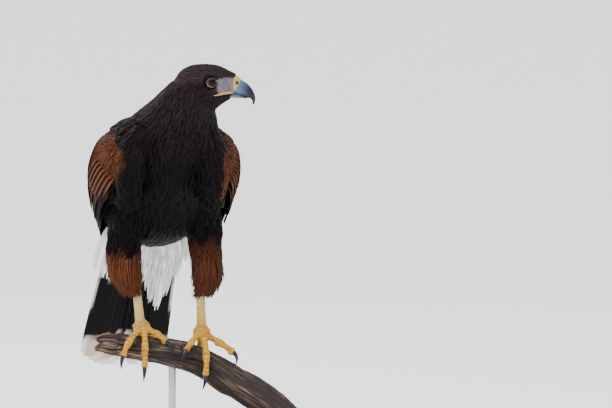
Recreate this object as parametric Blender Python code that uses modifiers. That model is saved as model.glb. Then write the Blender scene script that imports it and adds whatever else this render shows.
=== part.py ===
"""Harris's hawk gripping a cut length of branch, held by a plain display stand.

Sizes are in millimetres and are turned to metres as each mesh is made. The bird faces -Y,
its left side is at +X, and the origin is the centre of the underside of the stand's base.
"""
import math

import bmesh
import bpy
import numpy as np
from mathutils import Vector

MM = 0.001
GAP = 0.3
UP = np.array([0.0, 0.0, 1.0])
RIGHTWARD = np.array([1.0, 0.0, 0.0])

# Torso and neck, from the vent to the top of the neck. Each row is the centre (x, y, z), the
# slope of the body's axis in degrees, the half width, and the depth to the back and the front.
BODY_SECTIONS = [
    (-26, 68, 241, 45, 17, 8, 14),
    (-25, 56, 248, 42, 33, 15, 36),
    (-22, 36, 262, 38, 49, 26, 52),
    (-20, 12, 282, 36, 56, 36, 63),
    (-18, -18, 306, 36, 58, 40, 62),
    (-18, -46, 326, 39, 56, 39, 58),
    (-19, -66, 343, 47, 52, 36, 50),
    (-16, -78, 358, 58, 45, 33, 41),
    (-10, -85, 372, 70, 37, 31, 34),
    (-5, -87, 385, 82, 30, 29, 29),
    (-1, -87, 396, 90, 24, 23, 23),
]
BODY_RINGS = 17
BODY_POINTS = 24
NECK_BASE = ((-16.0, -78.0, 357.0), 58.0)
HEAD_CUT_FRONT = (8.0, -27.5)
HEAD_CUT_BACK = (-40.0, -9.0)

# Head, in its own frame: forward along the bill, out to the side, up. It is turned over the
# bird's left shoulder, so that its own forward is close to +X.
HEAD_EYE_LEVEL = np.array([18.1, -88.0, 395.1])
HEAD_TURN = math.radians(-11.5)
HEAD_SECTIONS = [
    # forward, top, bottom, half width
    (-37.0, 2.0, -14.0, 9.0),
    (-31.0, 11.5, -23.0, 18.0),
    (-20.0, 17.8, -30.0, 23.5),
    (-8.0, 19.2, -31.0, 25.5),
    (4.0, 18.2, -28.0, 24.5),
    (12.0, 15.4, -22.5, 21.0),
    (18.5, 11.8, -18.6, 16.0),
    (23.0, 8.6, -16.4, 11.8),
]
HEAD_RINGS = 12
HEAD_POINTS = 18
EYE_RADIUS = 8.6
EYE_OUT = 16.2
EYE_HOLLOW = (1.0, 29.5, -0.5)
EYE_HOLLOW_RADII = (11.5, 9.5, 9.5)
LID_RADIUS = 6.9
LID_THICK = 1.5
LID_POINTS = 12
LID_FORWARD = 5.0
GAZE_AHEAD = 0.35
BROW_LINE = [(-9.0, 20.5, 7.0), (-1.0, 24.2, 8.6), (7.0, 22.4, 8.4), (15.0, 16.5, 6.6)]
BROW_RADII = [1.2, 2.6, 2.6, 1.0]
LIP_LINE = [(2.5, 22.2, -13.6), (9.0, 19.6, -12.6), (16.0, 15.2, -11.4), (22.9, 10.6, -10.6)]
LIP_RADIUS = 1.1

# Bill and cere, in the head's frame: top and bottom of each section, and its half width.
UPPER_BILL = [
    ((23.3, 8.3), (23.3, -10.4), 9.6),
    ((27.6, 6.3), (26.0, -10.9), 8.6),
    ((32.0, 2.4), (29.6, -11.5), 7.2),
    ((37.6, -2.4), (33.8, -13.0), 5.8),
    ((42.4, -8.0), (38.0, -15.0), 4.5),
    ((45.2, -13.8), (41.0, -17.0), 3.1),
    ((45.6, -18.4), (42.4, -19.6), 1.8),
    ((44.4, -22.0), (43.0, -22.4), 0.8),
]
CERE_SECTIONS = 3
BILL_CREST = 0.62
LOWER_BILL = [
    ((23.3, -11.4), (23.3, -16.2), 8.4),
    ((29.5, -12.6), (28.5, -16.2), 6.6),
    ((34.5, -14.6), (34.0, -17.0), 4.6),
    ((38.6, -16.6), (38.4, -17.8), 2.2),
]
BILL_POINTS = 14
NOSTRIL = (27.2, 0.6)
NOSTRIL_RADIUS = 1.3
NOSTRIL_CUT = (5.0, 12.0)

# Folded wing. Rows run from the bend of the wing back to the tip: centre (x, y, z), slope of
# the axis, half width of the bird there, rise over the back, and drop down the side. The left
# wing is held a little closer to the body at its bend.
WING_STATIONS = [
    (-20, -80, 336, 46, 68, 40, 62),
    (-20.5, -56, 324, 42, 76, 46, 70),
    (-19, -16, 295, 38, 80, 48, 70),
    (-17.5, 27, 258, 38, 71, 46, 60),
    (-20, 68, 233, 40, 56, 37, 40),
    (-24, 110, 197, 45, 43, 27, 24),
    (-26, 145, 161, 46, 34, 25, 15),
    (-27, 179, 125, 46, 27, 23, 12),
]
WING_CORE_END = 3.4
WING_CORE_TOP = [(0.0, 0.0), (1.15, 0.0), (1.6, -5.2), (2.3, -6.5), (2.7, -10.0), (3.4, -12.0)]
WING_CORE_SWELL = [0.3, 0.72, 0.93, 1.0, 1.0, 1.0, 1.0, 1.0, 1.0, 1.0]
WING_CORE_POINTS = 10
WING_CORE_SEAT = 0.45
WING_CORE_DEPTH = [(0.0, 13.0), (1.0, 24.0), (2.0, 24.0), (3.0, 15.0), (3.4, 11.0)]
WING_HIGH_EDGE = [(0.0, 50.0), (1.0, 36.0), (2.0, 25.0), (3.0, 17.0), (3.4, 17.0)]
WING_LOW_EDGE = [(0.0, 122.0), (1.0, 128.0), (2.0, 122.0), (3.0, 106.0), (3.4, 102.0)]
WING_LEFT_DRAWN_IN = [(0.0, 7.0), (1.5, 5.0), (3.0, 0.0)]
WING_FRONT_ANGLE = 88.0
WING_FRONT_SWEEP = 0.55
VANE_THICK = 0.7

# Secondaries and great coverts: how many, station and angle of the first and last root and
# tip, and height under the wing's outer surface.
WING_TIERS = [
    {"count": 10, "root": ((2.1, 117), (2.3, 21)), "tip": ((4.2, 90), (4.6, 14)),
     "height": -4.6},
    {"count": 9, "root": ((1.35, 121), (1.35, 32)), "tip": ((2.85, 109), (2.9, 22)),
     "height": -1.3},
]
VANE_SPANS = 4
VANE_OVERLAP = 1.5
VANE_RISE = 1.15
VANE_CURL = 180.0
VANE_SINK = 4.0
VANE_SHAPE = (0.7, 1.0, 1.0, 0.9, 0.3)
VANE_TIP_THICK = 0.75

# Primaries: a flat stack of long feathers that comes out from under the tier above.
PRIMARIES = 6
PRIMARY_ROOT = (3.05, 95.0)
PRIMARY_TIP = (6.5, 38.0)
PRIMARY_HEIGHT = (-15.0, -8.5)
PRIMARY_STACK = 1.1
PRIMARY_SPREAD = (3.5, 3.2)
PRIMARY_WIDTH = 15.0
PRIMARY_THICK = 0.6
PRIMARY_SHORTEST = 0.76
PRIMARY_SHAPE = (0.6, 0.9, 1.0, 1.0, 0.85, 0.3)

# Tail: a straight line from its root down and back, twelve feathers stacked like roof tiles.
TAIL_ROOT = np.array([-26.0, 55.0, 251.0])
TAIL_SLOPE = math.radians(46.3)
TAIL_LENGTH = 229.0
TAIL_PAIRS = 6
TAIL_STEP = 0.9
TAIL_FEATHER_WIDTH = 23.0
TAIL_ROOT_SPREAD = (2.0, 3.3)
TAIL_TIP_SPREAD = (3.2, 6.9)
TAIL_LEAN = -0.016
TAIL_FEATHER_START = 26.0
TAIL_FEATHER_THICK = 0.55
TAIL_FEATHER_SHAPE = (0.4, 0.8, 1.0, 1.0, 0.92, 0.5)
TAIL_SHORTENING = 0.9
TAIL_SPREAD_BEND = 0.8

# Fleshy root of the tail and the covert cores over and under it: distance down the tail, half
# width and half thickness, with the height of the first one and its change down the tail.
TAIL_CORE = [(-6, 21, 8), (8, 26, 8.5), (22, 28, 7.8), (36, 29, 6.8), (46, 28, 5.4)]
TAIL_CORE_HEIGHT = (-5.0, 0.0)
UPPERTAIL_CORE = [(-10, 14, 4.5), (2, 20, 6), (16, 22, 4.5), (30, 18, 2.6)]
UPPERTAIL_CORE_HEIGHT = (8.1, -0.1)
UNDERTAIL_CORE = [(-10, 18, 7), (2, 28, 8.5), (16, 32, 8), (30, 27, 5)]
UNDERTAIL_CORE_HEIGHT = (-21.5, 0.12)

# White coverts: how many, where they start and how far they reach down the tail, how far the
# outermost fall short, their spread at root and tip, height, and width.
UPPERTAIL_COVERTS = {"count": 7, "start": 16.0, "end": 72.0, "short": 9.0,
                     "spread": (14.0, 20.0), "height": (5.6, 2.4), "width": 12.0}
UPPERTAIL_STAGGER = 1.3
UNDERTAIL_COVERTS = [
    {"count": 8, "start": 6.0, "end": 102.0, "short": 16.0, "spread": (16.0, 44.0),
     "height": (-15.0, -13.5), "width": 15.0},
    {"count": 6, "start": 6.0, "end": 76.0, "short": 16.0, "spread": (16.0, 38.0),
     "height": (-19.5, -18.0), "width": 15.0},
]
UNDERTAIL_STAGGER = -1.7
UNDERTAIL_RAGGED = 5.0
COVERT_THICK = (0.8, 1.0)
UPPER_COVERT_SHAPE = (0.6, 1.0, 1.0, 0.8, 0.3)
UNDER_COVERT_SHAPE = (0.6, 1.0, 1.0, 0.75, 0.18)

# Thighs and their long loose feathers. Rows run down the leg: centre, half width, half depth.
THIGH_SECTIONS = {
    "right": [(-41, 1, 262, 16, 21), (-53.5, -1, 241, 19.5, 24), (-58, 0, 222, 21, 27),
              (-58, 0, 205, 20, 25), (-56, 1, 190, 18, 21), (-52, 3, 178, 13.5, 15),
              (-47, 5, 167, 12, 13)],
    "left": [(5, 1, 262, 16, 21), (20, -1, 241, 19, 24), (28, 0, 222, 19.5, 27),
             (30, 0, 205, 18.5, 25), (31, 1, 189, 17, 21), (29, 3, 176, 13.5, 15),
             (25.5, 5, 165, 12.5, 13)],
}
THIGH_CORE_END = 4.85
THIGH_CORE_INSET = [(0.0, 0.0), (1.8, 0.6), (2.8, 5.0), (3.4, 6.2), (4.85, 6.2)]
THIGH_TIERS = [
    {"count": 9, "start": 3.2, "end": 6.0, "height": -5.0, "phase": 0.0},
    {"count": 8, "start": 2.2, "end": 5.1, "height": -0.7, "phase": 0.5},
]
LOCK_WIDTH = 15.0
LOCK_THICK = 1.0
LOCK_STEP = 2.4
LOCK_SINK = 5.5
LOCK_RAGGED = 0.35
LOCK_SHAPE = (0.6, 1.0, 0.95, 0.7, 0.15)
LOCK_TIP_THICK = 0.6
THIGH_CLEAR_OF_WING = 4.0

# Legs: the bare shank runs from the thigh's hem to the foot. Toes are named by digit; digit 1
# points back. Each toe is a short line of points and each claw ends at its own tip.
SHANKS = {
    "right": ((-45.0, 6.0), (-41.0, 0.0), 143.8),
    "left": ((23.6, 6.0), (24.5, 0.0), 138.4),
}
SHANK_SUNK = 1.5
SHANK_HALF_WIDTH = 4.6
SHANK_HALF_DEPTH = 5.6
SHANK_SWELL = [(0.0, 1.0), (0.3, 0.97), (0.7, 1.0), (1.0, 1.12)]
SHANK_POINTS = 14
ANKLES = {"right": (-38.6, -2.0, 137.5), "left": (24.2, -2.0, 131.0)}
ANKLE_RADII = (9.2, 8.4, 6.6)
COLLAR_SHARE = 0.6
COLLAR_RADII = [(6.6, 6.8), (7.2, 7.0)]
TOES = {
    "right": {
        1: [(-36, 5, 135.5), (-35, 13, 129), (-35, 17.5, 117), (-35, 16, 106)],
        2: [(-34, -6, 135.5), (-25, -11, 131), (-15.8, -13.8, 124)],
        3: [(-38, -7, 137), (-38.5, -15, 128), (-38.8, -18, 112), (-38.8, -16, 97.5)],
        4: [(-42, -6, 136), (-50, -13, 130), (-58, -16.5, 119), (-61.7, -16.5, 109.5)],
    },
    "left": {
        1: [(24, 5, 128), (25, 14, 120.5), (26, 20, 106), (26, 18.5, 94)],
        2: [(18.5, -6, 128), (11, -14, 122), (5, -17.5, 114.5)],
        3: [(24.5, -7, 130), (25.5, -16, 119), (25.8, -20.5, 103), (25.5, -19, 88)],
        4: [(30, -6, 128), (42, -12, 121), (55.5, -15, 111.5)],
    },
}
CLAW_TIPS = {
    "right": {1: (-35, 10, 92), 2: (-8.9, -18.5, 107), 3: (-39.5, -12, 81.5), 4: (-63, -14, 95)},
    "left": {1: (26.5, 12, 80), 2: (-2.5, -19.5, 99.5), 3: (22.4, -14, 72), 4: (57.2, -17, 97)},
}
TOE_RADII = [5.0, 4.5, 4.3, 3.6]
TOE_KNUCKLES = 3
KNUCKLE_SWELL = 0.32
TOE_RINGS = 8
TOE_POINTS = 8
CLAW_RADIUS = 2.7
CLAW_BOW = 0.55
CLAW_TAPER = 0.93
CLAW_RINGS = 6
CLAW_POINTS = 8

# Branch: centre (x, z) and radius, from its broken end to its sawn end. Ridges along it are
# given by how many go round, how they wind, and their height as a share of the radius.
BRANCH = [
    (-84.5, 122.0, 9.0), (-72, 120.6, 11.0), (-56, 118.5, 12.2), (-30, 115, 13.2),
    (-3, 109.9, 14.6), (26, 99.6, 15.2), (52, 83.7, 16.2), (93, 57.3, 16.8),
    (119.2, 35.5, 16.2),
]
BRANCH_RIDGES = [(3, 0.5, 0.045), (5, -0.9, 0.03)]
SPLINTER = 3.0
BRANCH_RINGS = 15
BRANCH_POINTS = 14

# Stand: a flat oval plinth and two rods.
BASE_SIZE = (256.0, 170.0, 12.0)
BASE_EDGE = 2.5
ROD_RADIUS = 4.0
ROD_PLACES = [-7.0, 86.0]
ROD_UNCUT_TOP = 150.0


def along(keys, place):
    """Row of values at a place on a smooth curve through rows of key values."""
    keys = np.asarray(keys, float)
    spans = len(keys) - 1
    first = 2 * keys[0] - keys[1]
    last = 2 * keys[-1] - keys[-2]
    padded = np.vstack([first, keys, last])
    i = int(min(max(math.floor(place), 0), spans - 1))
    t = place - i
    a, b, c, d = padded[i:i + 4]
    return 0.5 * (2 * b + (c - a) * t + (2 * a - 5 * b + 4 * c - d) * t ** 2
                  + (3 * b - a - 3 * c + d) * t ** 3)


def steps(table, place):
    """Value at a place in a table of (place, value) rows."""
    places, values = zip(*table)
    return float(np.interp(place, places, values))


def mix(a, b, t):
    return a + (b - a) * t


def unit(vector):
    return vector / np.linalg.norm(vector)


def oval(centre, side, up, half, top, bottom, points):
    """Ring round a centre: half wide, top above and bottom below it."""
    ring = []
    for k in range(points):
        angle = 2 * math.pi * k / points
        rise = top if math.sin(angle) > 0 else bottom
        ring.append(centre + side * half * math.cos(angle) + up * rise * math.sin(angle))
    return np.array(ring)


def new_object(name, corners, faces):
    """Closed mesh object from corners in millimetres, with its faces turned outwards."""
    mesh = bpy.data.meshes.new(name)
    mesh.from_pydata([Vector(corner) * MM for corner in corners], [], faces)
    form = bmesh.new()
    form.from_mesh(mesh)
    bmesh.ops.recalc_face_normals(form, faces=form.faces[:])
    form.to_mesh(mesh)
    form.free()
    piece = bpy.data.objects.new(name, mesh)
    bpy.context.scene.collection.objects.link(piece)
    return piece


def loft(name, rings):
    """Closed skin through rings that have the same number of points."""
    count = len(rings[0])
    corners = [corner for ring in rings for corner in ring]
    faces = []
    for r in range(len(rings) - 1):
        for k in range(count):
            a = r * count + k
            b = r * count + (k + 1) % count
            faces += [(a, b, b + count), (a, b + count, a + count)]
    for r in (0, len(rings) - 1):
        corners.append(np.mean(rings[r], axis=0))
        hub = len(corners) - 1
        faces += [(r * count + k, r * count + (k + 1) % count, hub) for k in range(count)]
    return new_object(name, corners, faces)


def frame_of(path, i):
    """Side and up vectors square to a path at one of its points."""
    ahead = path[min(i + 1, len(path) - 1)]
    behind = path[max(i - 1, 0)]
    forward = unit(ahead - behind)
    guide = UP if abs(forward[2]) < 0.8 else np.array([0.0, 1.0, 0.0])
    side = unit(np.cross(forward, guide))
    return side, np.cross(side, forward)


def limb(name, path, radii, points):
    """Round form along a path, with a radius at each of its points."""
    rings = []
    for i, centre in enumerate(path):
        side, up = frame_of(path, i)
        rings.append(oval(centre, side, up, radii[i], radii[i], radii[i], points))
    return loft(name, rings)


def vane(name, spine, across, outward, widths, thick):
    """Thin tapering plate along a spine, split into the same triangles on both faces."""
    corners = []
    for i, centre in enumerate(spine):
        half = across[i] * widths[i] / 2
        lift = outward[i] * thick[i] / 2
        corners += [centre - half + lift, centre + half + lift,
                    centre + half - lift, centre - half - lift]
    faces = []
    for i in range(len(spine) - 1):
        a = 4 * i
        b = a + 4
        faces += [(a, a + 1, b + 1), (a, b + 1, b)]
        faces += [(a + 3, b + 2, a + 2), (a + 3, b + 3, b + 2)]
        faces += [(a + 1, a + 2, b + 2), (a + 1, b + 2, b + 1)]
        faces += [(a, b, b + 3), (a, b + 3, a + 3)]
    end = 4 * (len(spine) - 1)
    faces += [(0, 2, 1), (0, 3, 2), (end, end + 1, end + 2), (end, end + 2, end + 3)]
    return new_object(name, corners, faces)


def ball(name, centre, radii, rows, columns):
    """Ellipsoid lofted from rings, closed at its poles."""
    rings = []
    for r in range(rows):
        angle = math.pi * (r + 0.5) / rows - math.pi / 2
        flat = math.cos(angle)
        middle = np.array(centre) + UP * radii[2] * math.sin(angle)
        ring = [middle + np.array([radii[0] * flat * math.cos(2 * math.pi * k / columns),
                                   radii[1] * flat * math.sin(2 * math.pi * k / columns), 0.0])
                for k in range(columns)]
        rings.append(np.array(ring))
    return loft(name, rings)


def apply_boolean(target, operation, solver, other=None, group=None):
    """Run one Boolean on an object and keep its result as the object's own mesh."""
    change = target.modifiers.new(operation.lower(), "BOOLEAN")
    change.operation = operation
    change.solver = solver
    if group is not None:
        change.operand_type = "COLLECTION"
        change.collection = group
    else:
        change.object = other
    bpy.context.view_layer.update()
    graph = bpy.context.evaluated_depsgraph_get()
    mesh = bpy.data.meshes.new_from_object(target.evaluated_get(graph))
    target.modifiers.remove(change)
    old = target.data
    target.data = mesh
    bpy.data.meshes.remove(old)


def remove(piece):
    mesh = piece.data
    bpy.data.objects.remove(piece)
    bpy.data.meshes.remove(mesh)


def keep_largest(piece):
    """Keep only the largest closed surface of an object."""
    form = bmesh.new()
    form.from_mesh(piece.data)
    unseen = set(form.verts)
    shells = []
    while unseen:
        stack = [unseen.pop()]
        shell = set(stack)
        while stack:
            for edge in stack.pop().link_edges:
                for vert in edge.verts:
                    if vert in unseen:
                        unseen.discard(vert)
                        shell.add(vert)
                        stack.append(vert)
        shells.append(shell)
    if len(shells) > 1:
        shells.sort(key=lambda shell: len(shell), reverse=True)
        scraps = [vert for shell in shells[1:] for vert in shell]
        bmesh.ops.delete(form, geom=scraps, context="VERTS")
    form.to_mesh(piece.data)
    form.free()


def fuse(name, pieces, solver="MANIFOLD"):
    """One closed body from overlapping closed pieces."""
    body = pieces[0]
    body.name = name
    body.data.name = name
    if len(pieces) > 1:
        group = bpy.data.collections.new(name + "_pieces")
        bpy.context.scene.collection.children.link(group)
        for piece in pieces[1:]:
            bpy.context.scene.collection.objects.unlink(piece)
            group.objects.link(piece)
        apply_boolean(body, "UNION", solver, group=group)
        for piece in pieces[1:]:
            remove(piece)
        bpy.data.collections.remove(group)
    keep_largest(body)
    return body


def cut(target, cutter, solver="MANIFOLD"):
    """Take a cutter out of an object, and remove the cutter."""
    apply_boolean(target, "DIFFERENCE", solver, other=cutter)
    remove(cutter)
    keep_largest(target)
    return target


def slice_of(source, name, planes):
    """Copy of a closed form, kept behind each plane (point, normal) and closed flat there."""
    piece = source.copy()
    piece.data = source.data.copy()
    piece.name = name
    bpy.context.scene.collection.objects.link(piece)
    form = bmesh.new()
    form.from_mesh(piece.data)
    for point, normal in planes:
        everything = form.verts[:] + form.edges[:] + form.faces[:]
        bmesh.ops.bisect_plane(form, geom=everything, dist=1e-7, clear_outer=True,
                               plane_co=Vector(point) * MM, plane_no=Vector(normal))
        rim = [edge for edge in form.edges if edge.is_boundary]
        bmesh.ops.holes_fill(form, edges=rim, sides=0)
    bmesh.ops.triangulate(form, faces=form.faces[:])
    form.to_mesh(piece.data)
    form.free()
    return piece


def body_rings(grow):
    """Sections of the torso and neck, square to the body's axis."""
    rings = []
    for place in np.linspace(0, len(BODY_SECTIONS) - 1, BODY_RINGS):
        x, y, z, slope, half, back, front = along(BODY_SECTIONS, place)
        slope = math.radians(slope)
        back_way = np.array([0.0, math.sin(slope), math.cos(slope)])
        centre = np.array([x, y, z])
        if grow and place == 0:
            centre = centre + np.array([0.0, math.cos(slope), -math.sin(slope)]) * grow
        rings.append(oval(centre, RIGHTWARD, back_way, half + grow, back + grow, front + grow,
                          BODY_POINTS))
    return rings


def in_head(forward, out, up):
    """Point given in the head's own frame; out is positive on the head's right side."""
    ahead = np.array([math.cos(HEAD_TURN), math.sin(HEAD_TURN), 0.0])
    outward = np.array([math.sin(HEAD_TURN), -math.cos(HEAD_TURN), 0.0])
    return HEAD_EYE_LEVEL + ahead * forward + outward * out + UP * up


def head_form():
    """Skull with brow ridges, lids round the eyes and the line of the mouth."""
    ahead = in_head(1, 0, 0) - in_head(0, 0, 0)
    outward = in_head(0, 1, 0) - in_head(0, 0, 0)
    rings = []
    for place in np.linspace(0, len(HEAD_SECTIONS) - 1, HEAD_RINGS):
        forward, top, bottom, half = along(HEAD_SECTIONS, place)
        middle = (top + bottom) / 2
        rise = (top - bottom) / 2
        rings.append(oval(in_head(forward, 0, middle), outward, UP, half, rise, rise,
                          HEAD_POINTS))
    skull = loft("head_form", rings)
    for side in (-1, 1):
        forward, out, up = EYE_HOLLOW
        cut(skull, ball("eye_hollow", in_head(forward, side * out, up), EYE_HOLLOW_RADII, 8, 14))
    pieces = [skull]
    for side in (-1, 1):
        brow = [in_head(f, side * o, u) for f, o, u in BROW_LINE]
        pieces.append(limb("brow", brow, BROW_RADII, 8))
        lip = [in_head(f, side * o, u) for f, o, u in LIP_LINE]
        pieces.append(limb("lip", lip, [LIP_RADIUS] * len(lip), 6))
        gaze = unit(outward * side + ahead * GAZE_AHEAD)
        middle = in_head(0, side * EYE_OUT, 0) + gaze * LID_FORWARD
        flat = unit(np.cross(gaze, UP))
        ring = [middle + flat * LID_RADIUS * math.cos(a) + UP * LID_RADIUS * math.sin(a)
                for a in np.linspace(0, 2 * math.pi, LID_POINTS + 1)[:-1]]
        pieces.append(closed_ring("lid", ring, middle, gaze, LID_THICK))
    return pieces


def closed_ring(name, path, middle, axis, radius):
    """Round ring of small sections along a closed path."""
    points = 6
    corners = []
    for centre in path:
        spoke = unit(centre - middle)
        for k in range(points):
            angle = 2 * math.pi * k / points
            corners.append(centre + spoke * radius * math.cos(angle)
                           + axis * radius * math.sin(angle))
    faces = []
    count = len(path)
    for i in range(count):
        for k in range(points):
            a = i * points + k
            b = i * points + (k + 1) % points
            c = ((i + 1) % count) * points + (k + 1) % points
            d = ((i + 1) % count) * points + k
            faces += [(a, b, c), (a, c, d)]
    return new_object(name, corners, faces)


def make_body():
    """Torso, neck and head, modelled whole and parted by two thin cuts."""
    pieces = [loft("body", body_rings(0.0))] + head_form()
    whole = fuse("body", pieces)
    for side in (-1, 1):
        cut(whole, eyeball("eye_socket", side, GAP))

    point, slope = NECK_BASE
    slope = math.radians(slope)
    neck_way = np.array([0.0, -math.cos(slope), math.sin(slope)])
    low = in_head(HEAD_CUT_BACK[0], 0, HEAD_CUT_BACK[1])
    high = in_head(HEAD_CUT_FRONT[0], 0, HEAD_CUT_FRONT[1])
    outward = in_head(0, 1, 0) - in_head(0, 0, 0)
    head_way = unit(np.cross(outward, high - low))
    if head_way[2] < 0:
        head_way = -head_way
    half = GAP / 2
    torso = slice_of(whole, "torso", [(point - neck_way * half, neck_way)])
    neck = slice_of(whole, "neck", [(point + neck_way * half, -neck_way),
                                    (low - head_way * half, head_way)])
    head = slice_of(whole, "head", [(low + head_way * half, -head_way)])
    remove(whole)
    for piece in (torso, neck, head):
        keep_largest(piece)
    return [torso, neck, head]


def eyeball(name, side, grow):
    """Eye in its socket; side is 1 on the head's right."""
    radius = EYE_RADIUS + grow
    return ball(name, in_head(0, side * EYE_OUT, 0), (radius, radius, radius), 8, 12)


def bill_ring(section, points):
    """Egg-shaped section of the bill between its top and its bottom point."""
    (top_f, top_u), (low_f, low_u), half = section
    top = in_head(top_f, 0, top_u)
    low = in_head(low_f, 0, low_u)
    outward = in_head(0, 1, 0) - in_head(0, 0, 0)
    up = unit(top - low)
    height = np.linalg.norm(top - low)
    crest = height * BILL_CREST
    return oval(top - up * crest, outward, up, half, crest, height - crest, points)


def make_bill():
    """Cere, hooked upper bill and lower bill, with the mouth's line between them."""
    rings = [bill_ring(section, BILL_POINTS) for section in UPPER_BILL]
    cere = loft("cere", rings[:CERE_SECTIONS])
    step = in_head(GAP, 0, 0) - in_head(0, 0, 0)
    first = rings[CERE_SECTIONS - 1] + step
    upper = loft("bill_upper", [first] + rings[CERE_SECTIONS:])
    lower = loft("bill_lower", [bill_ring(section, BILL_POINTS) for section in LOWER_BILL])
    for side in (-1, 1):
        hole = [in_head(NOSTRIL[0], side * out, NOSTRIL[1]) for out in NOSTRIL_CUT]
        cut(cere, limb("nostril", hole, [NOSTRIL_RADIUS] * 2, 8))
    return [cere, upper, lower]


def wing_point(side, station, angle, height):
    """Point on the folded wing: station along it, angle down from the back, height outwards."""
    x, y, z, slope, half, rise, drop = along(WING_STATIONS, station)
    slope = math.radians(slope)
    angle = math.radians(angle)
    back_way = np.array([0.0, math.sin(slope), math.cos(slope)])
    fall = rise if math.cos(angle) > 0 else drop
    if side > 0:
        half = half - steps(WING_LEFT_DRAWN_IN, station)
    place = np.array([x + side * (half + height) * math.sin(angle), y, z])
    return place + back_way * (fall + height) * math.cos(angle)


def wing_core(name, side, grow):
    """Fleshy front of the folded wing, a thick curved shell over the body's side."""
    rings = []
    reach = np.linspace(0, 1, len(WING_CORE_SWELL)) ** 1.15
    for share, step in zip(WING_CORE_SWELL, reach):
        outer = []
        inner = []
        for t in np.linspace(-1, 1, WING_CORE_POINTS):
            station = step * WING_CORE_END
            high = steps(WING_HIGH_EDGE, station)
            low = steps(WING_LOW_EDGE, station)
            angle = (high + low) / 2 + (low - high) / 2 * t * (0.55 + 0.45 * share)
            lag = WING_FRONT_SWEEP * ((angle - WING_FRONT_ANGLE) / 45.0) ** 2
            station = lag + step * (WING_CORE_END - lag)
            top = steps(WING_CORE_TOP, station)
            depth = steps(WING_CORE_DEPTH, station)
            edge = 1 - 0.75 * t ** 6
            middle = top - depth * WING_CORE_SEAT
            above = depth * WING_CORE_SEAT * share * edge
            below = depth * (1 - WING_CORE_SEAT) * share * edge
            outer.append(wing_point(side, station, angle, middle + above + grow))
            inner.append(wing_point(side, station, angle, middle - below - grow))
        rings.append(np.array(outer + inner[::-1]))
    return loft(name, rings)


def wing_frame(side, station, angle, height):
    """Point on the wing with its directions down round the bird and outwards."""
    here = wing_point(side, station, angle, height)
    down = unit(wing_point(side, station, angle + 1.0, height) - here)
    out = wing_point(side, station, angle, height + 1.0) - here
    return here, down, unit(out - down * np.dot(out, down))


def wing_vane(side, root, tip, turn, height):
    """Feather along the wing, as wide as the row's spacing asks, its lower edge lifted."""
    spine = []
    across = []
    outward = []
    widths = []
    for t, share in zip(np.linspace(0, 1, VANE_SPANS + 1), VANE_SHAPE):
        station = mix(root[0], tip[0], t)
        angle = mix(root[1], tip[1], t)
        sink = -VANE_SINK if t == 0 else 0.0
        here, down, out = wing_frame(side, station, angle, height + sink)
        beside = wing_point(side, station, angle + mix(turn[0], turn[1], t), height + sink)
        pitch = np.linalg.norm(beside - here)
        tilt = VANE_RISE / pitch + pitch / VANE_CURL
        spine.append(here)
        across.append(unit(down + out * tilt))
        outward.append(unit(out - down * tilt))
        widths.append(pitch * VANE_OVERLAP * share)
    thick = [VANE_THICK] * VANE_SPANS + [VANE_THICK * VANE_TIP_THICK]
    return vane("wing_vane", spine, across, outward, widths, thick)


def primary(side, number):
    """One long flight feather of the stack that lies over the tail."""
    spine = []
    across = []
    outward = []
    lift = number - PRIMARIES + 1
    reach = mix(PRIMARY_SHORTEST, 1.0, number / (PRIMARIES - 1))
    for t in np.linspace(0, reach, len(PRIMARY_SHAPE)):
        station = mix(PRIMARY_ROOT[0], PRIMARY_TIP[0], t)
        angle = mix(PRIMARY_ROOT[1], PRIMARY_TIP[1], t)
        height = mix(PRIMARY_HEIGHT[0], PRIMARY_HEIGHT[1], t)
        here, down, out = wing_frame(side, station, angle, height)
        offset = -(number - (PRIMARIES - 1) / 2) * mix(PRIMARY_SPREAD[0], PRIMARY_SPREAD[1], t)
        spine.append(here + down * offset + out * lift * PRIMARY_STACK)
        across.append(down)
        outward.append(out)
    widths = [PRIMARY_WIDTH * share for share in PRIMARY_SHAPE]
    return vane("primary", spine, across, outward, widths, [PRIMARY_THICK] * len(spine))


def make_wing(name, side):
    """Folded wing: a core with the flight feathers and great coverts in tiers over it."""
    pieces = [wing_core(name, side, 0.0)]
    pieces += [primary(side, number) for number in range(PRIMARIES)]
    for tier in WING_TIERS:
        roots = np.array(tier["root"], float)
        tips = np.array(tier["tip"], float)
        gaps = tier["count"] - 1
        turn = ((roots[1][1] - roots[0][1]) / gaps, (tips[1][1] - tips[0][1]) / gaps)
        for t in np.linspace(0, 1, tier["count"]):
            pieces.append(wing_vane(side, mix(roots[0], roots[1], t), mix(tips[0], tips[1], t),
                                    turn, tier["height"]))
    wing = fuse(name, pieces)
    return cut(wing, loft("body_grown", body_rings(GAP)))


def on_tail(q, x, height):
    """Point by distance down the tail, across it, and above its upper face."""
    down_way = np.array([0.0, math.cos(TAIL_SLOPE), -math.sin(TAIL_SLOPE)])
    up_way = np.array([0.0, math.sin(TAIL_SLOPE), math.cos(TAIL_SLOPE)])
    return TAIL_ROOT + down_way * q + RIGHTWARD * (x + TAIL_LEAN * q) + up_way * height


def tail_vane(name, start, end, heights, width, thick, shape):
    """Feather along the tail; start and end are (distance down, distance across)."""
    up_way = on_tail(0, 0, 1) - on_tail(0, 0, 0)
    down_way = on_tail(1, 0, 0) - on_tail(0, 0, 0)
    spine = []
    across = []
    for i, t in enumerate(np.linspace(0, 1, len(shape))):
        bend = t ** TAIL_SPREAD_BEND
        spine.append(on_tail(mix(start[0], end[0], t), mix(start[1], end[1], bend),
                             mix(heights[0], heights[1], t)))
        lean = (end[1] - start[1]) / (end[0] - start[0])
        across.append(unit(RIGHTWARD - down_way * lean))
    widths = [width * share for share in shape]
    return vane(name, spine, across, [up_way] * len(spine), widths, [thick] * len(spine))


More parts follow.
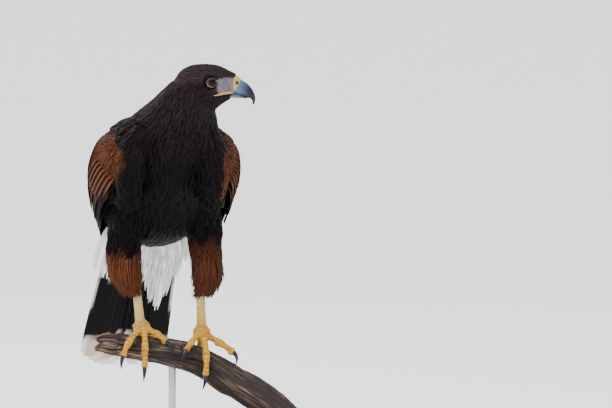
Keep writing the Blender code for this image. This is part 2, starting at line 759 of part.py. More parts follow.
def flat_core(name, sections, height, grow):
    """Flat oval form along the tail, at a height that changes evenly down it."""
    up_way = on_tail(0, 0, 1) - on_tail(0, 0, 0)
    rings = []
    for q, half, thick in sections:
        rings.append(oval(on_tail(q, 0, height[0] + height[1] * q), RIGHTWARD, up_way,
                          half + grow, thick + grow, thick + grow, 14))
    return loft(name, rings)


def make_tail():
    """Tail of twelve feathers, the middle pair on top and the outer pair lowest."""
    pieces = [flat_core("tail", TAIL_CORE, TAIL_CORE_HEIGHT, 0.0)]
    for i in range(TAIL_PAIRS):
        for turn, side in enumerate((-1, 1)):
            height = -(2 * i + turn) * TAIL_STEP
            root = side * (TAIL_ROOT_SPREAD[0] + TAIL_ROOT_SPREAD[1] * i)
            tip = side * (TAIL_TIP_SPREAD[0] + TAIL_TIP_SPREAD[1] * i)
            length = TAIL_LENGTH - TAIL_SHORTENING * i ** 2
            pieces.append(tail_vane("rectrix", (TAIL_FEATHER_START, root), (length, tip),
                                    (height, height), TAIL_FEATHER_WIDTH, TAIL_FEATHER_THICK,
                                    TAIL_FEATHER_SHAPE))
    tail = fuse("tail", pieces)
    return cut(tail, loft("body_grown", body_rings(GAP)))


def covert(row, spread, lift, extra, thick, shape):
    """One white feather of a covert row; spread runs from -1 to 1 across the tail."""
    start = (row["start"], spread * row["spread"][0])
    end = (row["end"] - row["short"] * spread ** 2 + extra, spread * row["spread"][1])
    heights = (row["height"][0] + lift, row["height"][1] + lift)
    return tail_vane("covert", start, end, heights, row["width"], thick, shape)


def clear_of_body_and_tail(coverts):
    """Coverts cut back from the body and from the tail's own root."""
    coverts = cut(coverts, loft("body_grown", body_rings(GAP)))
    return cut(coverts, flat_core("tail_grown", TAIL_CORE, TAIL_CORE_HEIGHT, GAP))


def make_uppertail_coverts():
    """White feathers over the root of the tail."""
    name = "uppertail_coverts"
    pieces = [flat_core(name, UPPERTAIL_CORE, UPPERTAIL_CORE_HEIGHT, 0.0)]
    for k in range(UPPERTAIL_COVERTS["count"]):
        spread = 2 * k / (UPPERTAIL_COVERTS["count"] - 1) - 1
        pieces.append(covert(UPPERTAIL_COVERTS, spread, UPPERTAIL_STAGGER * (k % 2), 0.0,
                             COVERT_THICK[0], UPPER_COVERT_SHAPE))
    return clear_of_body_and_tail(fuse(name, pieces))


def make_undertail_coverts():
    """Long white feathers from the vent, loose and spread under the tail."""
    name = "undertail_coverts"
    pieces = [flat_core(name, UNDERTAIL_CORE, UNDERTAIL_CORE_HEIGHT, 0.0)]
    for number, row in enumerate(UNDERTAIL_COVERTS):
        for k in range(row["count"]):
            spread = 2 * k / (row["count"] - 1) - 1
            ragged = UNDERTAIL_RAGGED * math.sin(2.4 * k + number)
            pieces.append(covert(row, spread, UNDERTAIL_STAGGER * (k % 2), ragged,
                                 COVERT_THICK[1], UNDER_COVERT_SHAPE))
    return clear_of_body_and_tail(fuse(name, pieces))


def thigh_point(side, place, angle, height):
    """Point round the thigh: place down it, angle round it, height outwards."""
    x, y, z, half, deep = along(THIGH_SECTIONS[side], place)
    return np.array([x + (half + height) * math.cos(angle),
                     y + (deep + height) * math.sin(angle), z])


def make_thigh(side):
    """Feathered thigh, its long loose feathers hanging past the hem in two tiers."""
    rings = []
    for place in np.linspace(0, THIGH_CORE_END, 8):
        inset = steps(THIGH_CORE_INSET, place)
        rings.append(np.array([thigh_point(side, place, 2 * math.pi * k / 14, -inset)
                               for k in range(14)]))
    name = "thigh_" + side
    pieces = [loft(name, rings)]
    for tier in THIGH_TIERS:
        for k in range(tier["count"]):
            angle = 2 * math.pi * (k + tier["phase"]) / tier["count"]
            lift = tier["height"] + LOCK_STEP * (k % 2)
            end = tier["end"] + LOCK_RAGGED * math.sin(2.7 * k + tier["phase"])
            spine = []
            across = []
            outward = []
            for t in np.linspace(0, 1, len(LOCK_SHAPE)):
                place = mix(tier["start"], end, t)
                sink = -LOCK_SINK if t == 0 else 0.0
                here = thigh_point(side, place, angle, lift + sink)
                beside = thigh_point(side, place, angle + 0.05, lift + sink)
                beyond = thigh_point(side, place, angle, lift + sink + 1.0)
                spine.append(here)
                across.append(unit(beside - here))
                outward.append(unit(beyond - here))
            widths = [LOCK_WIDTH * share for share in LOCK_SHAPE]
            thick = [LOCK_THICK] * (len(spine) - 1) + [LOCK_THICK * LOCK_TIP_THICK]
            pieces.append(vane("lock", spine, across, outward, widths, thick))
    thigh = fuse(name, pieces)
    thigh = cut(thigh, loft("body_grown", body_rings(GAP)))
    thigh = cut(thigh, make_shank("shank_grown", side, GAP))
    turn = 1 if side == "left" else -1
    return cut(thigh, wing_core("wing_grown", turn, THIGH_CLEAR_OF_WING))


def make_shank(name, side, grow):
    """Bare shank, slightly waisted, from just inside the thigh's hem to the foot."""
    top_place, low_place, low = SHANKS[side]
    top = along(THIGH_SECTIONS[side], THIGH_CORE_END)[2] + SHANK_SUNK
    rings = []
    for t, swell in SHANK_SWELL:
        centre = np.array([mix(top_place[0], low_place[0], t), mix(top_place[1], low_place[1], t),
                           mix(top + grow, low + GAP - grow, t)])
        deep = SHANK_HALF_DEPTH * swell + grow
        rings.append(oval(centre, RIGHTWARD, np.array([0.0, 1.0, 0.0]),
                          SHANK_HALF_WIDTH * swell + grow, deep, deep, SHANK_POINTS))
    return loft(name, rings)


def toe_path(side, digit, count):
    """Smooth line of one toe, from inside the foot to the root of its claw."""
    keys = [ANKLES[side]] + TOES[side][digit]
    return [along(keys, place) for place in np.linspace(0, len(keys) - 1, count)]


def make_foot(side):
    """Foot: the broad joint under the shank and four toes with knuckled pads."""
    low_place, low = SHANKS[side][1:]
    top = np.array([low_place[0], low_place[1], low])
    ankle = np.array(ANKLES[side], float)
    flat = np.array([0.0, 1.0, 0.0])
    swell = SHANK_SWELL[-1][1]
    radii = [(SHANK_HALF_WIDTH * swell, SHANK_HALF_DEPTH * swell)] + COLLAR_RADII
    rings = []
    for centre, (half, deep) in zip((top, mix(top, ankle, COLLAR_SHARE), ankle), radii):
        rings.append(oval(centre, RIGHTWARD, flat, half, deep, deep, SHANK_POINTS))
    name = "foot_" + side
    pieces = [loft(name, rings), ball("ankle", ankle, ANKLE_RADII, 7, 14)]
    for digit in TOES[side]:
        path = toe_path(side, digit, TOE_RINGS)
        radii = []
        for i in range(len(path)):
            t = i / (len(path) - 1)
            knuckle = KNUCKLE_SWELL * math.cos(2 * math.pi * TOE_KNUCKLES * t)
            radius = along([[r] for r in TOE_RADII], (len(TOE_RADII) - 1) * t)[0]
            radii.append(float(radius) + knuckle)
        pieces.append(limb("toe", path, radii, TOE_POINTS))
    foot = fuse(name, pieces)
    return cut(foot, make_branch("branch_grown", GAP))


def make_claws(side):
    """Curved claws, each starting just past the end of its toe."""
    claws = []
    for digit, tip in CLAW_TIPS[side].items():
        path = toe_path(side, digit, TOE_RINGS)
        way = unit(path[-1] - path[-2])
        start = path[-1] + way * GAP
        tip = np.array(tip, float)
        bow = start + way * np.linalg.norm(tip - start) * CLAW_BOW
        points = []
        for t in np.linspace(0, 1, CLAW_RINGS):
            points.append(start * (1 - t) ** 2 + bow * 2 * t * (1 - t) + tip * t ** 2)
        radii = [CLAW_RADIUS * (1 - CLAW_TAPER * t ** 1.2) for t in np.linspace(0, 1, CLAW_RINGS)]
        rings = []
        side_way, up_way = frame_of(path, len(path) - 1)
        rings.append(oval(start, side_way, up_way, radii[0], radii[0], radii[0], CLAW_POINTS))
        for i in range(1, CLAW_RINGS):
            across, up = frame_of(points, i)
            if np.dot(across, side_way) < 0:
                across, up = -across, -up
            rings.append(oval(points[i], across, up, radii[i], radii[i], radii[i], CLAW_POINTS))
        claws.append(loft("claw_%s_%d" % (side, digit), rings))
    return claws


def branch_frame(place):
    """Centre, radius and upward normal of the branch at a place along it."""
    x, z, radius = along(BRANCH, place)
    ahead = along(BRANCH, place + 0.05)
    behind = along(BRANCH, place - 0.05)
    forward = unit(np.array([ahead[0] - behind[0], 0.0, ahead[1] - behind[1]]))
    normal = np.array([-forward[2], 0.0, forward[0]])
    return np.array([x, 0.0, z]), radius, normal, forward


def make_branch(name, grow):
    """Weathered branch with long ridges, splintered at one end and sawn at the other."""
    rings = []
    last = len(BRANCH) - 1
    for place in np.linspace(0, last, BRANCH_RINGS):
        centre, radius, normal, forward = branch_frame(place)
        ring = []
        for k in range(BRANCH_POINTS):
            angle = 2 * math.pi * k / BRANCH_POINTS
            ridge = 1.0
            for count, wind, height in BRANCH_RIDGES:
                ridge += height * math.cos(count * angle + wind * place)
            reach = radius * ridge + grow
            splinter = 0.0
            if place == 0:
                splinter = SPLINTER * math.sin(4 * angle + 0.6) - grow
            if place == last:
                splinter = grow
            ring.append(centre + normal * reach * math.sin(angle)
                        + np.array([0.0, -1.0, 0.0]) * reach * math.cos(angle)
                        + forward * splinter)
        rings.append(np.array(ring))
    return loft(name, rings)


def make_stand():
    """Flat oval base and two rods up to the underside of the branch."""
    bpy.ops.mesh.primitive_cylinder_add(vertices=40, radius=0.5, depth=1.0,
                                        location=(0, 0, BASE_SIZE[2] / 2 * MM))
    base = bpy.context.object
    base.name = "stand_base"
    base.scale = [size * MM for size in BASE_SIZE]
    bpy.ops.object.transform_apply(location=False, rotation=False, scale=True)
    edge = base.modifiers.new("edge", "BEVEL")
    edge.width = BASE_EDGE * MM
    edge.segments = 1
    edge.limit_method = "ANGLE"
    pieces = [base]
    for number, x in enumerate(ROD_PLACES, 1):
        bottom = BASE_SIZE[2] + GAP
        top = ROD_UNCUT_TOP
        bpy.ops.mesh.primitive_cylinder_add(vertices=16, radius=ROD_RADIUS * MM,
                                            depth=(top - bottom) * MM,
                                            location=(x * MM, 0, (top + bottom) / 2 * MM))
        rod = bpy.context.object
        rod.name = "stand_rod_%d" % number
        bpy.ops.object.transform_apply(location=True)
        apply_boolean(rod, "DIFFERENCE", "MANIFOLD",
                      other=make_branch("branch_grown", GAP))
        remove(bpy.data.objects["branch_grown"])
        keep_lowest(rod)
        pieces.append(rod)
    return pieces


def keep_lowest(piece):
    """Keep the part of an object that reaches lowest, below whatever cut it in two."""
    form = bmesh.new()
    form.from_mesh(piece.data)
    start = min(form.verts, key=lambda vert: vert.co.z)
    shell = {start}
    stack = [start]
    while stack:
        for edge in stack.pop().link_edges:
            for vert in edge.verts:
                if vert not in shell:
                    shell.add(vert)
                    stack.append(vert)
    scraps = [vert for vert in form.verts if vert not in shell]
    bmesh.ops.delete(form, geom=scraps, context="VERTS")
    form.to_mesh(piece.data)
    form.free()


# Colour, roughness and metallic value of each kind of piece.
FINISHES = {
    "dark_feather": ((0.035, 0.027, 0.030), 0.75, 0.0),
    "rufous_feather": ((0.16, 0.05, 0.022), 0.75, 0.0),
    "white_feather": ((0.75, 0.74, 0.72), 0.8, 0.0),
    "tail_feather": ((0.018, 0.016, 0.018), 0.7, 0.0),
    "cere_skin": ((0.62, 0.48, 0.14), 0.5, 0.0),
    "bill_horn": ((0.08, 0.11, 0.17), 0.35, 0.0),
    "eye_glass": ((0.05, 0.02, 0.01), 0.1, 0.0),
    "leg_scale": ((0.72, 0.50, 0.12), 0.55, 0.0),
    "claw_horn": ((0.02, 0.028, 0.045), 0.3, 0.0),
    "branch_wood": ((0.17, 0.10, 0.06), 0.85, 0.0),
    "stand_wood": ((0.30, 0.25, 0.20), 0.5, 0.0),
    "stand_steel": ((0.5, 0.5, 0.5), 0.3, 1.0),
}
FINISH_OF = [
    ("torso", "dark_feather"), ("neck", "dark_feather"), ("head", "dark_feather"),
    ("cere", "cere_skin"), ("bill", "bill_horn"), ("eye", "eye_glass"),
    ("wing", "rufous_feather"), ("thigh", "rufous_feather"), ("uppertail", "white_feather"),
    ("undertail", "white_feather"), ("tail", "tail_feather"), ("shank", "leg_scale"),
    ("foot", "leg_scale"), ("claw", "claw_horn"), ("perch", "branch_wood"),
    ("stand_base", "stand_wood"), ("stand_rod", "stand_steel"),
]


def paint(piece):
    """Give a piece its own material, by the first word of its name."""
    finish = next(name for start, name in FINISH_OF if piece.name.startswith(start))
    colour, roughness, metallic = FINISHES[finish]
    material = bpy.data.materials.new(piece.name)
    material.use_nodes = True
    shader = material.node_tree.nodes["Principled BSDF"]
    shader.inputs["Base Color"].default_value = (*colour, 1.0)
    shader.inputs["Roughness"].default_value = roughness
    shader.inputs["Metallic"].default_value = metallic
    piece.data.materials.clear()
    piece.data.materials.append(material)


def make_hawk():
    pieces = make_body()
    pieces += make_bill()
    pieces += [eyeball("eye_right", 1, 0.0), eyeball("eye_left", -1, 0.0)]
    pieces += [make_wing("wing_right", -1), make_wing("wing_left", 1)]
    pieces += [make_tail(), make_uppertail_coverts(), make_undertail_coverts()]
    for side in ("right", "left"):
        pieces += [make_thigh(side), make_shank("shank_" + side, side, 0.0), make_foot(side)]
        pieces += make_claws(side)
    pieces.append(make_branch("perch", 0.0))
    pieces += make_stand()
    return pieces


def main():
    for old in list(bpy.data.objects):
        bpy.data.objects.remove(old)
    parts = bpy.data.collections.new("harris_hawk")
    bpy.context.scene.collection.children.link(parts)
    for piece in make_hawk():
        for owner in list(piece.users_collection):
            owner.objects.unlink(piece)
        parts.objects.link(piece)
        paint(piece)


main()
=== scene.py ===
# %% [markdown]
# A Harris's hawk on a cut branch
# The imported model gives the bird's true size and place. This script dresses it: one smooth skin
# under thousands of small feathers, long flight feathers, a horn bill, glass-like eyes, scaled
# legs and a weathered branch. Sizes are in millimetres and are turned to metres when a mesh is
# made. The bird faces -Y and its left side is at +X.

# %% Frame
import math

import bpy
import numpy as np
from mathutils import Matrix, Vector
from mathutils.bvhtree import BVHTree
from mathutils.kdtree import KDTree


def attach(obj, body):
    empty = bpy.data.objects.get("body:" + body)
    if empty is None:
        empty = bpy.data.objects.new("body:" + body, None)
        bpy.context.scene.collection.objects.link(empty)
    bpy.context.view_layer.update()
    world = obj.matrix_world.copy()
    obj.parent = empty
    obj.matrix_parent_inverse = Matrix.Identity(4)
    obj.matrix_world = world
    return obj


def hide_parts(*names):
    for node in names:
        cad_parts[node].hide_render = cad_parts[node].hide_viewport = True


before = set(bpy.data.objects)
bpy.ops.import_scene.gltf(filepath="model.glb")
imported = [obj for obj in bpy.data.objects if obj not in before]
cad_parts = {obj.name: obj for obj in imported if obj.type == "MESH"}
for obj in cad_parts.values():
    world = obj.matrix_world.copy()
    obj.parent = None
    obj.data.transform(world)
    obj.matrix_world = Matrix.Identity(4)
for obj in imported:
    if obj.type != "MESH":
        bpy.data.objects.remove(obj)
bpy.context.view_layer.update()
MM = 0.001
UP = np.array([0.0, 0.0, 1.0])
ACROSS = np.array([1.0, 0.0, 0.0])
BACK = np.array([0.0, 1.0, 0.0])
print("frame nodes:", len(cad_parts))

# %% [markdown]
# Curves through named rows
# A bird's body is drawn by its cross-sections. A smooth curve through a few rows of sizes gives
# every section between them, so the whole form hangs on a handful of numbers.

# %% Curves
def along(keys, place):
    """Rows of values at places on a smooth curve through rows of key values."""
    keys = np.asarray(keys, float)
    place = np.asarray(place, float)
    spans = len(keys) - 1
    first = 2 * keys[0] - keys[1]
    last = 2 * keys[-1] - keys[-2]
    padded = np.vstack([first, keys, last])
    i = np.clip(np.floor(place).astype(int), 0, spans - 1)
    t = (place - i)[..., None]
    a, b, c, d = padded[i], padded[i + 1], padded[i + 2], padded[i + 3]
    return 0.5 * (2 * b + (c - a) * t + (2 * a - 5 * b + 4 * c - d) * t ** 2
                  + (3 * b - a - 3 * c + d) * t ** 3)


def steps(table, place):
    """Values at places in a table of (place, value) rows."""
    places, values = zip(*table)
    return np.interp(place, places, values)


def mix(a, b, t):
    return a + (b - a) * t


def unit(vectors):
    vectors = np.asarray(vectors, float)
    return vectors / (np.linalg.norm(vectors, axis=-1, keepdims=True) + 1e-12)


def smooth_step(low, high, value):
    t = np.clip((value - low) / (high - low), 0, 1)
    return t * t * (3 - 2 * t)


def circle(count):
    """Angles of a number of points evenly round a circle."""
    return np.linspace(0, 2 * math.pi, count, endpoint=False)


def crossed(rows, columns):
    """Two grids of numbers: one changes from row to row, the other along each row."""
    return np.meshgrid(rows, columns, indexing="ij")


def ripple(points, size, seed):
    """Soft noise from -1 to 1 at points in millimetres, about size across each bump."""
    points = np.asarray(points, float)
    draw = np.random.default_rng(seed)
    total = np.zeros(points.shape[:-1])
    for octave in range(5):
        way = unit(draw.normal(size=3)) * 2 * math.pi / size * (0.7 + 0.25 * octave)
        total += np.sin(points @ way + draw.uniform(0, 2 * math.pi))
    return total / 3.2


# %% [markdown]
# Turning rows of rings into a closed mesh
# A grid primitive is rolled up: its columns go round the form and its rows run along it. The
# doubled seam and the gathered ends are then merged, which closes the form.

# %% Rolled grids
# points closer than this many metres are one point
MERGE = 1e-6


def select_only(piece):
    bpy.ops.object.select_all(action="DESELECT")
    piece.select_set(True)
    bpy.context.view_layer.objects.active = piece


def read_values(items, name, width, kind=float):
    """A row of numbers from each of many items of a mesh."""
    values = np.empty(len(items) * width, kind)
    items.foreach_get(name, values)
    return values.reshape(-1, width)


def mesh_points(piece):
    """Points of a piece in millimetres."""
    return read_values(piece.data.vertices, "co", 3) / MM


def set_points(piece, places):
    """Move the points of a piece to places in millimetres."""
    piece.data.vertices.foreach_set("co", (places * MM).ravel())


def store_value(piece, name, values):
    """Store one number at each point of a mesh."""
    layer = piece.data.attributes.new(name, "FLOAT", "POINT")
    layer.data.foreach_set("value", np.asarray(values, np.float32).ravel())


def turned_out(piece, merge=0.0):
    """Turn all faces outwards and smooth them, once points closer than merge are made one."""
    select_only(piece)
    bpy.ops.object.mode_set(mode="EDIT")
    bpy.ops.mesh.select_all(action="SELECT")
    if merge:
        bpy.ops.mesh.remove_doubles(threshold=merge)
    bpy.ops.mesh.normals_make_consistent(inside=False)
    bpy.ops.object.mode_set(mode="OBJECT")
    bpy.ops.object.shade_smooth()
    return piece


def rolled(name, rings):
    """Closed form from rings of points in millimetres; its grid keeps a UV map, round by along."""
    rings = np.asarray(rings, float)
    tips = rings[[0, -1]].mean(axis=1, keepdims=True) + 0 * rings[[0, -1]]
    rings = np.concatenate([tips[:1], rings, tips[1:]])
    sheet = np.concatenate([rings, rings[:, :1]], axis=1)
    rows, columns = sheet.shape[:2]
    bpy.ops.object.select_all(action="DESELECT")
    bpy.ops.mesh.primitive_grid_add(x_subdivisions=columns - 1, y_subdivisions=rows - 1, size=1)
    piece = bpy.context.object
    piece.name = name
    piece.data.name = name
    set_points(piece, sheet)
    return turned_out(piece, MERGE)


def oval(centre, side, up, half, top, bottom, points, square=2.0):
    """Ring round a centre, half wide, top above and bottom below; square above 2 fills corners."""
    angle = circle(points)
    x = np.sign(np.cos(angle)) * np.abs(np.cos(angle)) ** (2 / square)
    y = np.sign(np.sin(angle)) * np.abs(np.sin(angle)) ** (2 / square)
    rise = np.where(y > 0, top, bottom)
    return centre + np.outer(half * x, side) + np.outer(rise * y, up)


def frames_of(path):
    """Side and up vectors square to a path at each of its points."""
    path = np.asarray(path, float)
    forward = unit(np.gradient(path, axis=0))
    guide = np.where(np.abs(forward[:, 2:3]) < 0.8, UP, BACK)
    side = unit(np.cross(forward, guide))
    for i in range(1, len(side)):
        if side[i] @ side[i - 1] < 0:
            side[i] = -side[i]
    return side, np.cross(side, forward)


def limb(name, path, radii, points):
    """Round form along a path, with a radius at each of its points."""
    side, up = frames_of(path)
    rings = [oval(path[i], side[i], up[i], radii[i], radii[i], radii[i], points)
             for i in range(len(path))]
    return rolled(name, rings)


def apply_all(piece):
    """Apply each modifier of a piece in turn."""
    select_only(piece)
    for change in list(piece.modifiers):
        bpy.ops.object.modifier_apply(modifier=change.name)


def joined(name, pieces):
    """One object from several."""
    bpy.ops.object.select_all(action="DESELECT")
    for piece in pieces:
        piece.select_set(True)
    bpy.context.view_layer.objects.active = pieces[0]
    bpy.ops.object.join()
    whole = bpy.context.object
    whole.name = name
    whole.data.name = name
    return whole


def melted(name, pieces, voxel, rounds):
    """Overlapping closed forms melted into one smooth surface."""
    whole = joined(name, pieces)
    remesh = whole.modifiers.new("melt", "REMESH")
    remesh.mode = "VOXEL"
    remesh.voxel_size = voxel * MM
    soft = whole.modifiers.new("soft", "SMOOTH")
    soft.factor = 0.5
    soft.iterations = rounds
    apply_all(whole)
    bpy.ops.object.shade_smooth()
    return whole


def settle(piece):
    """Put a piece's place and size into its mesh."""
    select_only(piece)
    bpy.ops.object.transform_apply(location=True, rotation=True, scale=True)


def dress(piece, material, nodes=()):
    """Finish, material slot and place in the frame of one finished piece."""
    piece.data.materials.clear()
    piece.data.materials.append(material)
    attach(piece, "root")
    if nodes:
        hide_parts(*nodes)


# %% [markdown]
# The forms of the bird
# These rows are nearly the driving sizes of the solid model: the body's axis from vent to neck,
# the head along the bill, the folded wing from its bend to its tip, and the thighs.

# %% Body and head
BODY_SECTIONS = [
    # x, y, z, slope of the axis, half width, depth to the back, depth to the front
    (-26, 68, 241, 45, 17, 8, 14), (-25, 56, 248, 42, 33, 15, 36), (-22, 36, 262, 38, 49, 26, 52),
    (-20, 12, 282, 36, 56, 36, 63), (-18, -18, 306, 36, 58, 40, 62),
    (-18, -46, 326, 39, 56, 39, 58), (-19, -66, 343, 47, 52, 36, 50),
    (-16, -78, 358, 58, 45, 33, 41), (-11, -85, 372, 70, 36, 31, 34),
    (-7, -87, 385, 82, 28.5, 29, 29), (-3, -87, 396, 90, 22, 23, 23),
]
BODY_LAST = len(BODY_SECTIONS) - 1
BODY_COAT = 3.2
HEAD_EYE_LEVEL = np.array([18.1, -88.0, 395.1])
HEAD_TURN = math.radians(-11.5)
AHEAD = np.array([math.cos(HEAD_TURN), math.sin(HEAD_TURN), 0.0])
OUTWARD = np.array([math.sin(HEAD_TURN), -math.cos(HEAD_TURN), 0.0])
HEAD_SECTIONS = [
    # forward, top, bottom, half width
    (-37.0, 2.0, -14.0, 9.0), (-31.0, 11.5, -23.0, 18.0), (-20.0, 17.8, -30.0, 23.5),
    (-8.0, 19.2, -31.0, 25.5), (4.0, 18.6, -28.0, 24.5), (12.0, 16.3, -22.5, 21.0),
    (18.5, 13.0, -18.6, 16.0), (23.0, 10.0, -16.4, 11.8),
]
HEAD_LAST = len(HEAD_SECTIONS) - 1
HEAD_COAT = 0.6


def body_point(place, angle, height=0.0):
    """Point on the torso and neck; angle 0 is the left side and 90 degrees the back."""
    x, y, z, slope, half, back, front = np.moveaxis(along(BODY_SECTIONS, place), -1, 0)
    slope = np.radians(slope)
    deep = np.where(np.sin(angle) > 0, back, front) + height
    centre = np.stack([x, y, z], -1)
    back_way = np.stack([0 * slope, np.sin(slope), np.cos(slope)], -1)
    wide = (half + height) * np.cos(angle)
    return centre + wide[..., None] * ACROSS + (deep * np.sin(angle))[..., None] * back_way


def in_head(forward, out, up):
    """Points given in the head's own frame; out is positive on the head's right side."""
    forward, out, up = (np.asarray(value, float)[..., None] for value in (forward, out, up))
    return HEAD_EYE_LEVEL + AHEAD * forward + OUTWARD * out + UP * up


def head_point(place, angle, height=0.0):
    """Point on the head; angle 0 is its right side and 90 degrees its crown."""
    forward, top, bottom, half = np.moveaxis(along(HEAD_SECTIONS, place), -1, 0)
    rise = (top - bottom) / 2 + height
    return in_head(forward, (half + height) * np.cos(angle), (top + bottom) / 2
                   + rise * np.sin(angle))


# %% Wing and thigh
WING_STATIONS = [
    # centre (x, y, z), slope of the axis, half width, rise over the back, drop down the side
    (-20, -80, 336, 46, 68, 40, 62), (-20.5, -56, 324, 42, 76, 46, 70),
    (-19, -16, 295, 38, 80, 48, 70), (-17.5, 27, 258, 38, 71, 46, 60),
    (-20, 68, 233, 40, 56, 37, 40), (-24, 110, 197, 45, 43, 27, 24),
    (-26, 145, 161, 46, 34, 25, 15), (-27, 179, 125, 46, 27, 23, 12),
]
WING_CORE_END = 3.4
WING_CORE_TOP = [(0.0, -1.5), (1.15, -2.5), (1.6, -6.2), (2.3, -7.5), (2.7, -11.0), (3.4, -13.0)]
WING_CORE_DEPTH = [(0.0, 11.0), (1.0, 20.0), (2.0, 20.0), (3.0, 13.0), (3.4, 10.0)]
WING_HIGH_EDGE = [(0.0, 50.0), (1.0, 36.0), (2.0, 25.0), (3.0, 17.0), (3.4, 17.0)]
WING_LOW_EDGE = [(0.0, 122.0), (1.0, 128.0), (2.0, 122.0), (3.0, 106.0), (3.4, 102.0)]
WING_LEFT_DRAWN_IN = [(0.0, 6.5), (0.8, 3.0), (1.4, 1.0), (2.2, 2.0), (3.0, 0.0)]
WING_FRONT_ANGLE = 88.0
WING_FRONT_SWEEP = 0.55
THIGH_SECTIONS = {
    # centre (x, y, z), half width, half depth
    "right": [(-41, 1, 262, 16, 21), (-53.5, -1, 241, 19.5, 24), (-58, 0, 222, 21, 27),
              (-58, 0, 205, 20, 25), (-56, 1, 190, 18, 21), (-52, 3, 178, 13.5, 15),
              (-47, 5, 167, 12, 13)],
    "left": [(5, 1, 262, 16, 21), (20, -1, 241, 19, 24), (28, 0, 222, 19.5, 27),
             (30, 0, 205, 18.5, 25), (31, 1, 189, 17, 21), (29, 3, 176, 13.5, 15),
             (25.5, 5, 165, 12.5, 13)],
}
THIGH_END = 4.9
THIGH_COAT = [(0, 4.0), (2.4, 4.0), (3.4, 4.5), (THIGH_END, 5.0)]


def wing_point(side, station, angle, height):
    """Point on the folded wing; angle in degrees runs from the back down the bird's side."""
    x, y, z, slope, half, rise, drop = np.moveaxis(along(WING_STATIONS, station), -1, 0)
    if side > 0:
        half = half - steps(WING_LEFT_DRAWN_IN, station)
    slope = np.radians(slope)
    angle = np.radians(angle)
    back_way = np.stack([0 * slope, np.sin(slope), np.cos(slope)], -1)
    fall = np.where(np.cos(angle) > 0, rise, drop)
    place = np.stack([x + side * (half + height) * np.sin(angle), y + 0 * angle, z + 0 * angle], -1)
    return place + back_way * ((fall + height) * np.cos(angle))[..., None]


def wing_surface(side, step, share_across, outer):
    """Station, angle and height on the wing's fleshy part, for its outer or inner face."""
    share = steps([(0, 0.3), (0.09, 0.72), (0.18, 0.93), (0.28, 1), (1, 1)], step)
    station = step * WING_CORE_END
    high = steps(WING_HIGH_EDGE, station)
    low = steps(WING_LOW_EDGE, station)
    angle = (high + low) / 2 + (low - high) / 2 * share_across * (0.55 + 0.45 * share)
    lag = WING_FRONT_SWEEP * ((angle - WING_FRONT_ANGLE) / 45.0) ** 2
    station = lag + step * (WING_CORE_END - lag)
    top = steps(WING_CORE_TOP, station)
    depth = steps(WING_CORE_DEPTH, station)
    edge = 1 - 0.75 * share_across ** 6
    middle = top - depth * 0.45
    height = np.where(outer, middle + depth * 0.45 * share * edge,
                      middle - depth * 0.55 * share * edge)
    return station, angle, height


def thigh_point(side, place, angle, height=0.0):
    x, y, z, half, deep = np.moveaxis(along(THIGH_SECTIONS[side], place), -1, 0)
    return np.stack([x + (half + height) * np.cos(angle), y + (deep + height) * np.sin(angle),
                     z + 0 * angle], -1)


# %% [markdown]
# One skin under all the feathers
# Body, head, wings and thighs are rolled forms a few millimetres inside the feathered outline.
# A voxel remesh melts them into one surface, so that no seam shows where a wing or thigh joins,
# and a little smoothing rounds the joints as flesh does. Two hollows are pressed in for the eyes.

# %% Skin
EYE_OUT = 16.2
EYE_RADIUS = 8.6
EYE_HOLLOW = (1.0, 29.0, -0.5)
EYE_HOLLOW_RADIUS = 10.2
SKIN_VOXEL = 1.9
SKIN_ROUNDS = 8
BROW_LINE = [(-10.0, 20.0, 6.8), (-2.0, 23.0, 7.6), (6.0, 21.6, 7.2), (14.0, 16.4, 6.4)]
BROW_RADII = [1.4, 2.9, 3.0, 1.6]
FOREHEAD = [(14.0, 0.0, 4.2), (20.0, 0.0, 4.6), (26.4, 0.0, 4.0)]
FOREHEAD_RADII = [9.0, 7.0, 5.0]
SHOULDERS = [
    # bands of flesh that fill the folds between breast, neck and wings
    ([(-40, -62, 351), (-47, -56, 348), (-67, -54, 339), (-79, -52, 324)], [13, 15, 15, 13]),
    ([(-52, -88, 346), (-63, -90, 326), (-66, -84, 300), (-64, -70, 276)], [12, 15, 15, 12]),
    ([(-50, -74, 350), (-63, -76, 340), (-71, -74, 326), (-74, -64, 306)], [13, 15, 15, 13]),
    ([(6, -62, 349), (14, -58, 343), (27, -56, 334), (37, -54, 320)], [12, 13, 13, 11]),
    ([(4, -74, 349), (17, -76, 338), (25, -74, 324), (29, -64, 306)], [12, 14, 14, 12]),
    ([(12, -88, 344), (20, -90, 324), (24, -84, 298), (22, -70, 276)], [12, 14, 14, 12]),
]
FLANKS = [
    # points down the flank where the belly's feathers run over the top of each thigh
    [(-50, -34, 292), (-57, -20, 262), (-58, -12, 234), (-58, -6, 212)],
    [(14, -34, 290), (25, -20, 262), (29, -12, 238), (30, -6, 216)],
]
FLANK_RADII = [[14.0, 19.0, 18.0, 12.0], [14.0, 16.0, 14.5, 11.0]]


